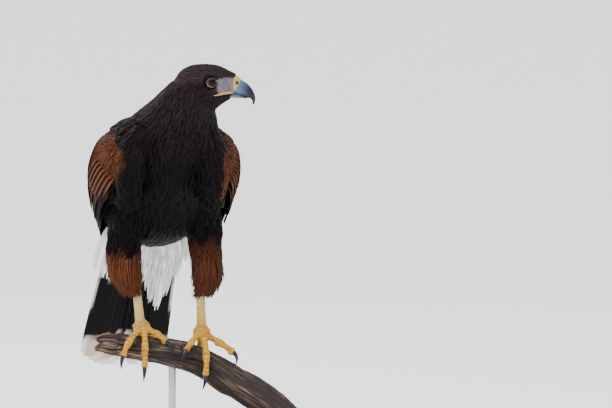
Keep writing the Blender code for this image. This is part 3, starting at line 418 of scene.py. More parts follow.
def skin_forms():
    turn = circle(48)
    place, angle = crossed(np.linspace(0, BODY_LAST, 60), turn)
    forms = [rolled("body_form", body_point(place, angle, -BODY_COAT))]
    place, angle = crossed(np.linspace(0, HEAD_LAST, 36), turn)
    forms.append(rolled("head_form", head_point(place, angle, -HEAD_COAT)))
    for side in (-1, 1):
        brow = along(BROW_LINE, np.linspace(0, 3, 12))
        brow = in_head(brow[:, 0], side * brow[:, 1], brow[:, 2])
        radii = np.interp(np.linspace(0, 3, 12), range(4), BROW_RADII)
        forms.append(limb("brow_form", brow, radii, 10))
        step, across = crossed(np.linspace(0.06, 1, 30), np.linspace(-1, 1, 20))
        outer = wing_point(side, *wing_surface(side, step, across, True))
        inner = wing_point(side, *wing_surface(side, step, across, False))
        forms.append(rolled("wing_form", np.concatenate([outer, inner[:, ::-1]], axis=1)))
    bands = list(zip(FLANKS, FLANK_RADII)) + SHOULDERS
    bands.append(([in_head(*spot) for spot in FOREHEAD], FOREHEAD_RADII))
    for line, radii in bands:
        place = np.linspace(0, len(line) - 1, 14)
        forms.append(limb("band_form", along(line, place),
                          np.interp(place, range(len(radii)), radii), 32))
    for side in THIGH_SECTIONS:
        place, angle = crossed(np.linspace(0, THIGH_END, 26), turn)
        inset = steps(THIGH_COAT, place)
        forms.append(rolled("thigh_form", thigh_point(side, place, angle, -inset)))
    return forms


def press_hollow(piece, centre, radius):
    """Push the points of a mesh out of a ball, which leaves a smooth hollow."""
    places = mesh_points(piece)
    away = places - centre
    reach = np.linalg.norm(away, axis=1)
    inside = reach < radius
    places[inside] = centre + away[inside] / reach[inside, None] * radius
    set_points(piece, places)
    piece.data.update()


skin = melted("skin", skin_forms(), SKIN_VOXEL, SKIN_ROUNDS)
for side in (-1, 1):
    press_hollow(skin, in_head(EYE_HOLLOW[0], side * EYE_HOLLOW[1], EYE_HOLLOW[2]),
                 EYE_HOLLOW_RADIUS)
select_only(skin)
bpy.ops.object.mode_set(mode="EDIT")
bpy.ops.mesh.select_all(action="SELECT")
bpy.ops.uv.smart_project(angle_limit=math.radians(66), island_margin=0.004)
bpy.ops.object.mode_set(mode="OBJECT")
skin.data.uv_layers[0].name = "OFBake"
print("skin faces:", len(skin.data.polygons))

# %% [markdown]
# Which way the feathers lie
# Points spread over the plain forms carry the part they belong to, where they are on it, and
# the direction that feathers follow there: from the bill back over the head, down the neck and
# body, along the wing, and down the thigh. Each feather later asks the nearest such guide.

# %% Guides
HEAD, BODY, WING_RIGHT, WING_LEFT, THIGH_RIGHT, THIGH_LEFT = range(6)


def guide_rows():
    """Positions, part numbers, two surface numbers and lay directions of all guides."""
    rows = []
    turn = circle(72)

    def add(part, s, t, here, ahead):
        lay = unit(ahead - here)
        rows.append(np.concatenate([here.reshape(-1, 3), np.full((here.size // 3, 1), part),
                                    s.reshape(-1, 1), t.reshape(-1, 1), lay.reshape(-1, 3)], 1))

    s, t = crossed(np.linspace(0.3, BODY_LAST - 0.6, 110), turn)
    add(BODY, s, t, body_point(s, t, -BODY_COAT), body_point(s - 0.08, t, -BODY_COAT))
    s, t = crossed(np.linspace(0.4, HEAD_LAST, 50), turn)
    add(HEAD, s, t, head_point(s, t, -HEAD_COAT), head_point(s - 0.05, t, -HEAD_COAT))
    for part, side in ((WING_RIGHT, -1), (WING_LEFT, 1)):
        for outer in (True, False):
            s, t = crossed(np.linspace(0.0, 0.96, 60), np.linspace(-1, 1, 40))
            here = wing_surface(side, s, t, outer)
            there = wing_surface(side, s + 0.04, t, outer)
            add(part, here[0], here[1], wing_point(side, *here), wing_point(side, *there))
    for part, side in ((THIGH_RIGHT, "right"), (THIGH_LEFT, "left")):
        s, t = crossed(np.linspace(0.2, THIGH_END, 50), turn)
        add(part, s, t, thigh_point(side, s, t, -4.0), thigh_point(side, s + 0.08, t, -4.0))
    return np.concatenate(rows)


guides = guide_rows()
guide_tree = KDTree(len(guides))
for i, row in enumerate(guides):
    guide_tree.insert(row[:3], i)
guide_tree.balance()
skin_tree = BVHTree.FromPolygons([tuple(vert.co / MM) for vert in skin.data.vertices],
                                 [tuple(face.vertices) for face in skin.data.polygons])
print("guides:", len(guides))

# %% [markdown]
# Markings
# Skin and feathers are coloured by the same rules of place, so that no gap shows another colour.
# A mark has four numbers: how rufous, how white, how grey, and a chance value for each feather.

# %% Markings
WING_RUFOUS_LIMIT = [(0.0, 132.0), (1.0, 128.0), (1.8, 112.0), (2.4, 92.0)]
# height, place across where the shoulder's rufous gives way to the dark breast
RUFOUS_EDGE_RIGHT = [(262, -104), (275, -98), (303, -80), (335, -72), (355, -62)]
RUFOUS_EDGE_LEFT = [(262, 60), (275, 40), (290, 31), (335, 29), (355, 22)]
THIGH_DARK_END = {THIGH_RIGHT: 1.85, THIGH_LEFT: 1.45}
# how rufous each thigh's lower part is; the far left thigh is given less, which is painted shade
THIGH_RUFOUS_FAR_SHADED = {THIGH_RIGHT: 0.85, THIGH_LEFT: 0.66}
HEAD_TONE = 0.5
CHEEK_TONE = 0.2
LORE_TOP = [(6.0, 1.6), (12.0, 3.4), (17.0, 4.6), (24.0, 4.4)]
LORE_LOW = [(6.0, -7.5), (12.0, -9.5), (22.0, -9.0)]


def lore_share(forward, up):
    """Share of the bare grey skin between eye and cere, in the head's own frame."""
    high = steps(LORE_TOP, forward)
    low = steps(LORE_LOW, forward)
    share = (smooth_step(6.5, 11.5, forward) * (1 - smooth_step(high - 1.2, high + 1.2, up))
             * smooth_step(low - 1.5, low + 1.0, up))
    under_eye = smooth_step(-4.0, 4.0, forward) * smooth_step(-11.0, -7.0, up) * (
        1 - smooth_step(-6.0, -4.5, up))
    return np.maximum(share, 0.3 * under_eye)


def rufous_share(rows, drift):
    """Share of rufous on a wing, full on the shoulder and gone along its low and hind edges."""
    place, part, station, angle = rows[:, :3], rows[:, 3], rows[:, 4], rows[:, 5]
    front = 1 - smooth_step(1.9, 2.7, station + drift * 3)
    limit = steps(WING_RUFOUS_LIMIT, station)
    low = 1 - smooth_step(limit - 7, limit + 7, angle + drift * 60)
    back = steps([(30, 0.7), (45, 0.15), (60, 0.0)], angle)
    past_right = place[:, 0] - steps(RUFOUS_EDGE_RIGHT, place[:, 2])
    past_left = steps(RUFOUS_EDGE_LEFT, place[:, 2]) - place[:, 0]
    past = np.where(part == WING_RIGHT, past_right, past_left) + drift * 25
    hidden = smooth_step(-3.0, 4.0, past) * (1 - smooth_step(-40.0, -15.0, place[:, 1]))
    return front * low * (1 - back) * (1 - hidden)


def markings(rows, chance):
    """Rufous, white, tone and chance shares for guide rows; tone is 0.5 on the head, 1 on lores."""
    part, s, t = rows[:, 3], rows[:, 4], rows[:, 5]
    place = rows[:, :3]
    drift = ripple(place, 22.0, 5) * 0.12
    wing = (part == WING_RIGHT) | (part == WING_LEFT)
    rufous = np.where(wing, rufous_share(rows, drift), 0.0)
    for thigh, dark_end in THIGH_DARK_END.items():
        own = part == thigh
        rufous = np.where(own, THIGH_RUFOUS_FAR_SHADED[thigh] * smooth_step(
            dark_end - 0.3, dark_end + 0.3, s + drift * 3), rufous)
    body = part == BODY
    white = np.where(body & (np.sin(t) < 0.2), 1 - smooth_step(0.9, 1.4, s + drift), 0.0)
    local = place - HEAD_EYE_LEVEL
    bare = lore_share(local @ AHEAD, local[:, 2])
    crown = CHEEK_TONE + (HEAD_TONE - CHEEK_TONE) * smooth_step(-6.0, 7.0, local[:, 2])
    on_head = mix(crown, 2 * HEAD_TONE, bare)
    rise = smooth_step(5.6, 8.8, s + drift * 4) * mix(CHEEK_TONE, HEAD_TONE, np.sin(t) > -0.3)
    tone = np.where(part == HEAD, on_head, rise)
    upper_back = body & (np.sin(t) > 0)
    tone = np.where(upper_back & (s < 8), np.maximum(tone, 0.35 * smooth_step(4.5, 6.0, s)), tone)
    tone = np.where(part < WING_RIGHT, tone, 0.0)
    return np.stack([rufous, white, tone, chance], 1)


def nearest_guides(points):
    """The guide row nearest to each point, with the point's own place in its first columns."""
    rows = guides[[guide_tree.find(point)[1] for point in points]]
    rows[:, :3] = points
    return rows


def mark_mesh(piece, name, values):
    """Store four numbers at each point of a mesh as a colour attribute."""
    layer = piece.data.attributes.new(name, "FLOAT_COLOR", "POINT")
    layer.data.foreach_set("color", np.asarray(values, np.float32).ravel())


skin_points = mesh_points(skin)
mark_mesh(skin, "Marks", markings(nearest_guides(skin_points), np.full(len(skin_points), 0.5)))

# %% [markdown]
# Making thousands of feathers
# A small feather is a thin closed leaf: six cross-sections of four points, narrow at the root,
# rounded at the tip. One set of arrays shapes all the feathers of a coat at once, which is far
# quicker than copying an object for each, and gives one mesh.

# %% Feather leaves
LEAF_STEPS = np.array([0.0, 0.16, 0.42, 0.68, 0.88, 1.0])
ROUND_LEAF = np.array([0.35, 0.85, 1.0, 0.95, 0.66, 0.16])
LONG_LEAF = np.array([0.5, 0.9, 1.0, 0.8, 0.46, 0.08])
LEAF_SIDES = 4
LEAF_CUP = 0.25
BAKE_PATCH = 0.003


def store_uv(mesh, name, values):
    layer = mesh.uv_layers.new(name=name)
    layer.data.foreach_set("uv", np.asarray(values, np.float32).ravel())


def feather_mesh(name, corners, quads, uv, marks, patches):
    """Many like feathers in one mesh, from each one's points in millimetres and its marks.

    The faces and the vane map are those of one feather, and the patches are the feathers' places
    on the skin's map. Marks are given for each feather or for each of its points.
    """
    count, points = corners.shape[:2]
    faces = (np.array(quads)[None] + np.arange(count)[:, None, None] * points).reshape(-1, 4)
    mesh = bpy.data.meshes.new(name)
    mesh.vertices.add(count * points)
    mesh.vertices.foreach_set("co", (corners * MM).ravel())
    mesh.loops.add(faces.size)
    mesh.loops.foreach_set("vertex_index", faces.ravel().astype(np.int32))
    mesh.polygons.add(len(faces))
    mesh.polygons.foreach_set("loop_start", np.arange(0, faces.size, 4, dtype=np.int32))
    mesh.polygons.foreach_set("loop_total", np.full(len(faces), 4, np.int32))
    mesh.update(calc_edges=True)
    mesh.validate()
    piece = bpy.data.objects.new(name, mesh)
    bpy.context.scene.collection.objects.link(piece)
    uv = np.tile(uv, (count, 1))
    store_uv(mesh, "Vane", uv[faces.ravel()])
    bake_uv = np.repeat(patches, points, axis=0) + uv * BAKE_PATCH
    store_uv(mesh, "OFBake", bake_uv[faces.ravel()])
    if marks.ndim == 2:
        marks = np.repeat(marks[:, None], points, axis=1)
    mark_mesh(piece, "Marks", marks)
    mesh.polygons.foreach_set("use_smooth", np.ones(len(faces), bool))
    return piece


def leaf_mesh(name, root, middle, tip, normals, widths, marks, patches, shape, thick):
    """Small leaves through three spine points each."""
    t = LEAF_STEPS[None, :, None]
    early = 2 * (t - 0.5) * (t - 1)
    halfway = 4 * t * (1 - t)
    late = 2 * t * (t - 0.5)
    spine = root[:, None] * early + middle[:, None] * halfway + tip[:, None] * late
    way = unit(np.gradient(spine, axis=1))
    out = normals[0][:, None] * (1 - t) + normals[1][:, None] * t
    side = unit(np.cross(out, way))
    out = unit(np.cross(way, side))
    half = widths[:, None, None] / 2 * shape[None, :, None]
    droop = out * half * LEAF_CUP
    lift = out * thick / 2 * (0.4 + 0.6 * shape[None, :, None])
    ring = np.stack([spine - side * half - droop, spine + lift, spine + side * half - droop,
                     spine - lift], axis=2)
    levels = len(LEAF_STEPS)
    quads = []
    for level in range(levels - 1):
        for k in range(LEAF_SIDES):
            a = level * LEAF_SIDES + k
            b = level * LEAF_SIDES + (k + 1) % LEAF_SIDES
            quads.append((a, b, b + LEAF_SIDES, a + LEAF_SIDES))
    end = (levels - 1) * LEAF_SIDES
    quads += [(3, 2, 1, 0), (end, end + 1, end + 2, end + 3)]
    across = np.tile([0.0, 0.5, 1.0, 0.5], levels)
    down = np.repeat(LEAF_STEPS, LEAF_SIDES)
    return feather_mesh(name, ring.reshape(len(root), -1, 3), quads, np.stack([across, down], 1),
                        marks, patches)


# %% [markdown]
# Spreading feathers over the skin
# Chance points on the skin are kept only where no kept point is nearer than the spacing that
# the region asks for. That spaces the feathers as evenly as on a real coat, close on the face
# and wide on the back, without any row or grid showing.

# %% Scatter
CANDIDATES = 260000
draw = np.random.default_rng(11)


def skin_candidates(count):
    """Chance points on the skin with their normals and places on its UV map."""
    mesh = skin.data
    mesh.calc_loop_triangles()
    corners = read_values(mesh.loop_triangles, "vertices", 3, np.int32)
    loops = read_values(mesh.loop_triangles, "loops", 3, np.int32)
    normals = read_values(mesh.vertex_normals, "vector", 3)
    uvs = read_values(mesh.uv_layers["OFBake"].data, "uv", 2)
    a, b, c = (skin_points[corners[:, k]] for k in range(3))
    area = np.linalg.norm(np.cross(b - a, c - a), axis=1)
    pick = draw.choice(len(area), count, p=area / area.sum())
    u, v = draw.random(count), draw.random(count)
    flip = u + v > 1
    u[flip], v[flip] = 1 - u[flip], 1 - v[flip]
    weights = np.stack([1 - u - v, u, v], 1)[:, :, None]
    spot = (np.stack([a[pick], b[pick], c[pick]], 1) * weights).sum(1)
    out = unit((normals[corners[pick]] * weights).sum(1))
    place = (uvs[loops[pick]] * weights).sum(1)
    return spot, out, place


def thinned(points, spacing):
    """Numbers of the points that keep their own spacing from all those kept before."""
    cell = float(spacing.max())
    cells = {}
    kept = []
    keys = np.floor(points / cell).astype(int)
    neighbours = [(i, j, k) for i in (-1, 0, 1) for j in (-1, 0, 1) for k in (-1, 0, 1)]
    for number in range(len(points)):
        x, y, z = points[number]
        kx, ky, kz = keys[number]
        limit = spacing[number] ** 2
        near = (other for i, j, k in neighbours
                for other in cells.get((kx + i, ky + j, kz + k), ()))
        if all((px - x) ** 2 + (py - y) ** 2 + (pz - z) ** 2 >= limit for px, py, pz in near):
            cells.setdefault((kx, ky, kz), []).append((x, y, z))
            kept.append(number)
    return np.array(kept)


spots, outs, spot_uvs = skin_candidates(CANDIDATES)
spot_rows = nearest_guides(spots)
print("candidate roots:", len(spots))

# %% Growing a coat
# feather lengths by place along each part
FRONT_LENGTHS = [(0, 20), (3, 18), (5, 15.5), (7, 12.5), (8.5, 10), (10, 8)]
BACK_LENGTHS = [(0, 24), (3, 26), (6, 20), (8, 12.5), (10, 8)]
HEAD_LENGTHS = [(0, 8.5), (2, 7.2), (3.5, 5.6), (5, 3.8), (7, 2.6)]
WING_LENGTHS = [(0, 9), (0.5, 11), (1.2, 16), (2.0, 24), (3.4, 28)]
THIGH_LENGTHS = [(0, 15), (2, 13), (3.5, 14), (4.9, 15)]
DOWN_THE_NAPE = (-0.1, 0.35, -0.93)
ROOT_DEPTH = 0.6
LAY_CHANCE = 0.1
# a tip that the nearest skin would pull further aside than this share of its length stays straight
PULLED_SHARE = 0.45


def feather_lengths(rows):
    """Length of the feathers at guide rows, by part and by place on it."""
    part, s, t = rows[:, 3], rows[:, 4], rows[:, 5]
    body = np.where(np.sin(t) < 0, steps(FRONT_LENGTHS, s), steps(BACK_LENGTHS, s))
    return np.choose(part.astype(int), [steps(HEAD_LENGTHS, s), body, steps(WING_LENGTHS, s),
                                        steps(WING_LENGTHS, s), steps(THIGH_LENGTHS, s),
                                        steps(THIGH_LENGTHS, s)])


def lay_of(rows, out):
    """Lay direction at roots, turned down the neck at the back of the head, flat on the skin."""
    part, s = rows[:, 3], rows[:, 4]
    lay = rows[:, 6:9]
    down = unit(DOWN_THE_NAPE)
    turned = np.where(part == HEAD, 1 - smooth_step(1.2, 3.4, s), 0)[:, None]
    lay = lay * (1 - turned) + down * turned
    return unit(lay - out * (lay * out).sum(1, keepdims=True))


def nearest_skin(points):
    """Nearest places on the skin, with its normals there."""
    found = [skin_tree.find_nearest(point) for point in points]
    return np.array([hit[0] for hit in found]), np.array([hit[1] for hit in found])


def coat(name, where, crowd, slender, stand, shape, thick):
    """One coat piece over the candidate roots of a region, its feathers following the skin."""
    chosen = np.nonzero(where)[0]
    rows = spot_rows[chosen]
    lengths = feather_lengths(rows)
    kept = thinned(spots[chosen], lengths * crowd)
    picked = chosen[kept]
    rows = rows[kept]
    lengths = lengths[kept] * draw.uniform(0.86, 1.14, len(kept))
    root, out = spots[picked], outs[picked]
    lay = lay_of(rows, out)
    side = np.cross(out, lay)
    lay = unit(lay + side * draw.normal(0, LAY_CHANCE, len(kept))[:, None])
    middle, mid_out = nearest_skin(root + lay * lengths[:, None] * 0.5)
    tip, tip_out = nearest_skin(root + lay * lengths[:, None])
    height = stand * lengths * draw.uniform(0.8, 1.2, len(kept))
    middle = middle + mid_out * (height * 0.75)[:, None]
    tip = tip + tip_out * height[:, None]
    straight = root + lay * lengths[:, None] + out * height[:, None]
    far = np.linalg.norm(tip - straight, axis=1) > lengths * PULLED_SHARE
    tip[far] = straight[far]
    middle[far] = (root[far] + straight[far]) / 2 + out[far] * height[far, None] * 0.4
    marks = markings(rows, draw.random(len(kept)))
    print(name, "feathers:", len(kept))
    return leaf_mesh(name, root - out * ROOT_DEPTH, middle, tip,
                     (out, np.where(far[:, None], out, tip_out)), lengths * slender, marks,
                     spot_uvs[picked], shape, thick)


# %% [markdown]
# The coats, region by region
# The face takes the smallest feathers and the back the largest. The eye hollows and the lores next
# to the cere are left bare.

# %% Coats
BARE_ROUND_EYE = 5.9
EYE_WINDOW_AHEAD = 2.6


def keep_off_eyes(points):
    """True where a point is clear of the bare ring round either eye."""
    local = points - HEAD_EYE_LEVEL
    reach = np.hypot(local @ AHEAD - EYE_WINDOW_AHEAD, local[:, 2] * 1.15)
    return (reach > BARE_ROUND_EYE) | (np.abs(local @ OUTWARD) < 12)


spot_part, station = spot_rows[:, 3], spot_rows[:, 4]
spot_forward = (spots - HEAD_EYE_LEVEL) @ AHEAD
spot_up = spots[:, 2] - HEAD_EYE_LEVEL[2]
on_head = (spot_part == HEAD) & keep_off_eyes(spots) & (
    spot_forward < steps([(4.0, 21.0), (6.5, 27.0)], spot_up))
on_body = spot_part == BODY
in_front = np.sin(spot_rows[:, 5]) < 0.1
on_thigh = (station < 4.6) & (outs[:, 2] > -0.75)
COATS = [
    # name, where it grows, crowding, slenderness, stand, leaf, thickness, slot
    ("coat_head", on_head & (spot_forward > 0), 0.25, 0.5, 0.1, ROUND_LEAF, 0.12, "dark"),
    ("coat_nape", on_head & (spot_forward <= 0), 0.25, 0.42, 0.08, ROUND_LEAF, 0.14, "dark"),
    ("coat_neck", on_body & (station >= 6.5), 0.25, 0.44, 0.08, ROUND_LEAF, 0.22, "dark"),
    ("coat_breast", on_body & (station < 6.5) & (station >= 4.0) & in_front, 0.25, 0.46, 0.07,
     ROUND_LEAF, 0.22, "dark"),
    ("coat_belly", on_body & (station < 4.0) & in_front, 0.24, 0.46, 0.08, ROUND_LEAF, 0.22,
     "dark"),
    ("coat_back", on_body & (station < 6.5) & ~in_front, 0.26, 0.62, 0.09, ROUND_LEAF, 0.22,
     "dark"),
    ("coat_wing_right", spot_part == WING_RIGHT, 0.25, 0.55, 0.06, ROUND_LEAF, 0.22, "rufous"),
    ("coat_wing_left", spot_part == WING_LEFT, 0.25, 0.55, 0.06, ROUND_LEAF, 0.22, "rufous"),
    ("coat_thigh_right", (spot_part == THIGH_RIGHT) & on_thigh, 0.17, 0.26, 0.13, LONG_LEAF, 0.22,
     "rufous"),
    ("coat_thigh_left", (spot_part == THIGH_LEFT) & on_thigh, 0.17, 0.26, 0.13, LONG_LEAF, 0.22,
     "rufous"),
]
coats = [(coat(*row[:-1]), row[-1] + "_feather") for row in COATS]

# %% [markdown]
# Long feathers
# Flight feathers, great coverts and tail feathers are broad vanes with a shaft and two webs. Each
# is a thin closed grid that follows the wing's or the tail's own surface, one edge under its
# neighbour.

# %% Vanes
VANE_ROWS = 22
VANE_COLUMNS = 6


def vane_grid(spine, across, outward, widths, thick, arch):
    """Points of one closed vane: upper face, then lower face, sharing no points."""
    share = np.linspace(-1, 1, VANE_COLUMNS + 1)
    half = (widths / 2)[:, None, None]
    curve = (1 - share ** 2)[None, :, None] * arch * half
    top = (spine[:, None] + across[:, None] * half * share[None, :, None]
           + outward[:, None] * (curve + thick / 2))
    edge = (1 - np.abs(share) ** 4)[None, :, None]
    low = top - outward[:, None] * thick * (0.25 + 0.75 * edge)
    return np.concatenate([top, low[:, ::-1]], axis=1)


def vane_outline(count, tip_from, tip_share, root_share=0.45):
    """Width shares down a vane: narrow root, full web and a rounded tip."""
    t = np.linspace(0, 1, count)
    root = mix(root_share, 1.0, smooth_step(0, 0.18, t))
    end = np.clip((t - tip_from) / (1 - tip_from), 0, 1)
    return root * np.maximum(np.sqrt(1 - end ** 2 * (1 - tip_share ** 2)), tip_share)


def vanes_mesh(name, grids, marks, patches):
    """Joined closed vanes from grids of points that go round each of them."""
    rows, columns = grids[0].shape[:2]
    half = columns // 2
    quads = []
    for r in range(rows - 1):
        for c in range(columns):
            a = r * columns + c
            b = r * columns + (c + 1) % columns
            quads.append((a, b, b + columns, a + columns))
    last = (rows - 1) * columns
    for c in range(half - 1):
        d = columns - 1 - c
        quads.append((c, d, d - 1, c + 1))
        quads.append((last + c, last + c + 1, last + d - 1, last + d))
    share = np.linspace(0, 1, half)
    across = np.tile(np.concatenate([share, share[::-1]]), rows)
    down = np.repeat(np.linspace(0, 1, rows), columns)
    corners = np.array(grids).reshape(len(grids), -1, 3)
    return turned_out(feather_mesh(name, corners, quads, np.stack([across, down], 1), marks,
                                   patches))


def patch_row(count, level):
    """Places on the skin's map for a row of vanes, side by side at one level."""
    return np.stack([np.linspace(0.05, 0.9, count), np.full(count, level)], 1)


def loose_marks(chance, count, rufous, white):
    """Marks of one colour for loose feathers, and chance places on the skin's map."""
    marks = np.stack([np.full(count, rufous), np.full(count, white), np.zeros(count),
                      chance.random(count)], 1)
    return marks, np.stack([chance.uniform(0.02, 0.95, count), chance.uniform(0.02, 0.95, count)],
                           1)


# %% Wing feathers
# name, count, (station, angle) of the first and last root and tip, height, width share, tip shape
WING_TIERS = [
    ("secondaries", 13, (2.1, 117), (2.3, 21), (4.2, 90), (4.6, 14), -4.6, 0.82, 0.35),
    ("great_coverts", 13, (1.35, 121), (1.35, 32), (2.85, 109), (2.9, 22), -1.6, 0.8, 0.35),
    ("middle_coverts", 21, (1.0, 122), (1.0, 34), (1.95, 117), (1.95, 28), -0.4, 0.75, 0.4),
]
TIER_RUFOUS = {"secondaries": 0.1, "great_coverts": 0.5, "middle_coverts": 0.85}
TIER_ROOT_SUNK = 4.0
TIER_OVERLAP = 1.7
# only every so many points of a vane ask for their own guide
MARK_STEP = 7
PRIMARIES = 8
PRIMARY_ROOT = (3.05, 95.0)
PRIMARY_TIP = (6.5, 38.0)
PRIMARY_HEIGHT = (-15.0, -8.5)
PRIMARY_STACK = 0.8
PRIMARY_SPREAD = (2.6, 2.4)
PRIMARY_WIDTH = 15.0
PRIMARY_MARKS = [0.0, 0.0, 0.0, 0.3]


def wing_lines(side, stations, angles, heights):
    """Spine of a wing feather with its directions down round the bird and outwards."""
    here = wing_point(side, stations, angles, heights)
    down = unit(wing_point(side, stations, angles + 1.0, heights) - here)
    out = wing_point(side, stations, angles, heights + 1.0) - here
    return here, down, unit(out - down * (out * down).sum(-1, keepdims=True))


def tier_grids(side, tier):
    _, count, root_a, root_b, tip_a, tip_b, height, tip_from, tip_share = tier
    grids = []
    t = np.linspace(0, 1, VANE_ROWS)
    shares = vane_outline(VANE_ROWS, tip_from, tip_share)
    for k in np.linspace(0, 1, count):
        root = mix(np.array(root_a, float), np.array(root_b, float), k)
        tip = mix(np.array(tip_a, float), np.array(tip_b, float), k)
        tip[0] += draw.normal(0, 0.03)
        stations = mix(root[0], tip[0], t)
        angles = mix(root[1], tip[1], t)
        heights = height - TIER_ROOT_SUNK * (1 - smooth_step(0, 0.15, t))
        here, down, out = wing_lines(side, stations, angles, heights)
        turn = mix((root_b[1] - root_a[1]) / (count - 1), (tip_b[1] - tip_a[1]) / (count - 1), t)
        pitch = np.linalg.norm(wing_point(side, stations, angles + turn, heights) - here, axis=1)
        tilt = (1.0 / pitch + pitch / 180.0)[:, None]
        grids.append(vane_grid(here, unit(down + out * tilt), unit(out - down * tilt),
                               pitch * TIER_OVERLAP * shares, 0.35, 0.05))
    return grids


def primary_grids(side):
    grids = []
    shares = vane_outline(VANE_ROWS, 0.7, 0.25)
    for number in range(PRIMARIES):
        reach = 0.76 + 0.24 * number / (PRIMARIES - 1)
        t = np.linspace(0, reach, VANE_ROWS)
        here, down, out = wing_lines(side, mix(PRIMARY_ROOT[0], PRIMARY_TIP[0], t),
                                     mix(PRIMARY_ROOT[1], PRIMARY_TIP[1], t),
                                     mix(*PRIMARY_HEIGHT, t))
        offset = -(number - (PRIMARIES - 1) / 2) * mix(*PRIMARY_SPREAD, t)
        lift = (number - PRIMARIES + 1) * PRIMARY_STACK
        spine = here + down * offset[:, None] + out * lift
        grids.append(vane_grid(spine, down, out, PRIMARY_WIDTH * shares, 0.3, 0.05))
    return grids


def wing_marks(grids, rufous_to):
    """Marks at each point of wing vanes: rufous edges at the front, dark behind."""
    rows = []
    for grid in grids:
        flat = grid.reshape(-1, 3)
        guide = nearest_guides(flat[::MARK_STEP])
        rufous = rufous_to * np.repeat(rufous_share(guide, 0.0), MARK_STEP)[:len(flat)]
        chance = np.full(len(flat), draw.random())
        rows.append(np.stack([rufous, 0 * rufous, 0 * rufous, chance], 1))
    return np.array(rows)


wing_pieces = []
for side, word in ((-1, "right"), (1, "left")):
    for tier in WING_TIERS:
        grids = tier_grids(side, tier)
        marks = wing_marks(grids, TIER_RUFOUS[tier[0]])
        wing_pieces.append(vanes_mesh(tier[0] + "_" + word, grids, marks,
                                      patch_row(len(grids), 0.3)))
    wing_pieces.append(vanes_mesh("primaries_" + word, primary_grids(side), np.tile(
        PRIMARY_MARKS, (PRIMARIES, 1)), patch_row(PRIMARIES, 0.6)))
print("wing pieces:", len(wing_pieces))

# %% Tail feathers
TAIL_ROOT = np.array([-26.0, 55.0, 251.0])
TAIL_SLOPE = math.radians(46.3)
TAIL_LENGTH = 229.0
TAIL_LEAN = -0.016
TAIL_PAIRS = 6
TAIL_STEP = 0.9
TAIL_FEATHER_WIDTH = 23.0
TAIL_ROOT_SPREAD = (3.0, 4.3)
TAIL_TIP_SPREAD = (3.2, 6.6)
SOFT_ROWS = 14
TAIL_FEATHER_START = 26.0
TAIL_BAND = 50.0
TAIL_EDGE = 41.5
# tone that gives the inside of the white tail band its painted shade
BAND_SHADE_TONE = 0.5
TAIL_DOWN = np.array([0.0, math.cos(TAIL_SLOPE), -math.sin(TAIL_SLOPE)])
TAIL_UP = np.array([0.0, math.sin(TAIL_SLOPE), math.cos(TAIL_SLOPE)])


def on_tail(q, x, height):
    """Points by distance down the tail, across it, and above its upper face."""
    q, x, height = (np.asarray(value, float)[..., None] for value in (q, x, height))
    return TAIL_ROOT + TAIL_DOWN * q + ACROSS * (x + TAIL_LEAN * q) + TAIL_UP * height


def tail_vane(start, end, heights, width, thick, shares, arch=0.05, sway=0.0):
    """Grid of one feather along the tail; start and end are (distance down, distance across)."""
    t = np.linspace(0, 1, len(shares))
    x = mix(start[1], end[1], t ** 0.6) + sway * np.sin(t * 2.5)
    spine = on_tail(mix(start[0], end[0], t), x, mix(heights[0], heights[1], t))
    lean = (end[1] - start[1]) / (end[0] - start[0])
    across = np.tile(unit(ACROSS - TAIL_DOWN * lean), (len(shares), 1))
    outward = np.tile(TAIL_UP, (len(shares), 1))
    return vane_grid(spine, across, outward, width * np.asarray(shares), thick, arch)


def tail_marks(grid, outer):
    """White root, black web, white end band with painted shade inside its white rim, and a fine
    white edge on the outermost feathers.
    """
    flat = grid.reshape(-1, 3) - TAIL_ROOT
    down = flat @ TAIL_DOWN
    across = flat[:, 0] - TAIL_LEAN * down
    wave = 2.5 * np.sin(across * 0.55) + 1.5 * np.sin(across * 1.3 + 1)
    band = smooth_step(TAIL_LENGTH - TAIL_BAND - 3, TAIL_LENGTH - TAIL_BAND + 3, down + wave)
    root = 1 - smooth_step(70, 84, down + wave * 2)
    edge = smooth_step(0.0, 1.0, np.abs(across) - outer) if outer else 0 * band
    edge = edge * (1 - smooth_step(120, 140, down))
    white = np.clip(np.maximum(band, np.maximum(root, edge)), 0, 1)
    # painted shade: the band is cream inside and pure white only at its rim
    rim = np.maximum(smooth_step(41, 44, np.abs(across)), smooth_step(
        TAIL_LENGTH - 16, TAIL_LENGTH - 9, down + wave))
    band_shade = BAND_SHADE_TONE * band * (1 - rim)
    return np.stack([0 * white, white, band_shade, np.full(len(white), draw.random())], 1)


def make_tail():
    grids = []
    marks = []
    shares = vane_outline(VANE_ROWS, 0.9, 0.45, 0.35)
    for i in range(TAIL_PAIRS):
        for turn, side in enumerate((-1, 1)):
            height = -(2 * i + turn) * TAIL_STEP
            root = side * (TAIL_ROOT_SPREAD[0] + TAIL_ROOT_SPREAD[1] * i)
            tip = side * (TAIL_TIP_SPREAD[0] + TAIL_TIP_SPREAD[1] * i)
            length = TAIL_LENGTH - 0.9 * i ** 2
            grid = tail_vane((TAIL_FEATHER_START, root), (length, tip), (height, height),
                             TAIL_FEATHER_WIDTH, 0.4, shares)
            grids.append(grid)
            marks.append(tail_marks(grid, TAIL_EDGE if i == TAIL_PAIRS - 1 else 0.0))
    return vanes_mesh("tail_feathers", grids, np.array(marks), patch_row(len(grids), 0.5))


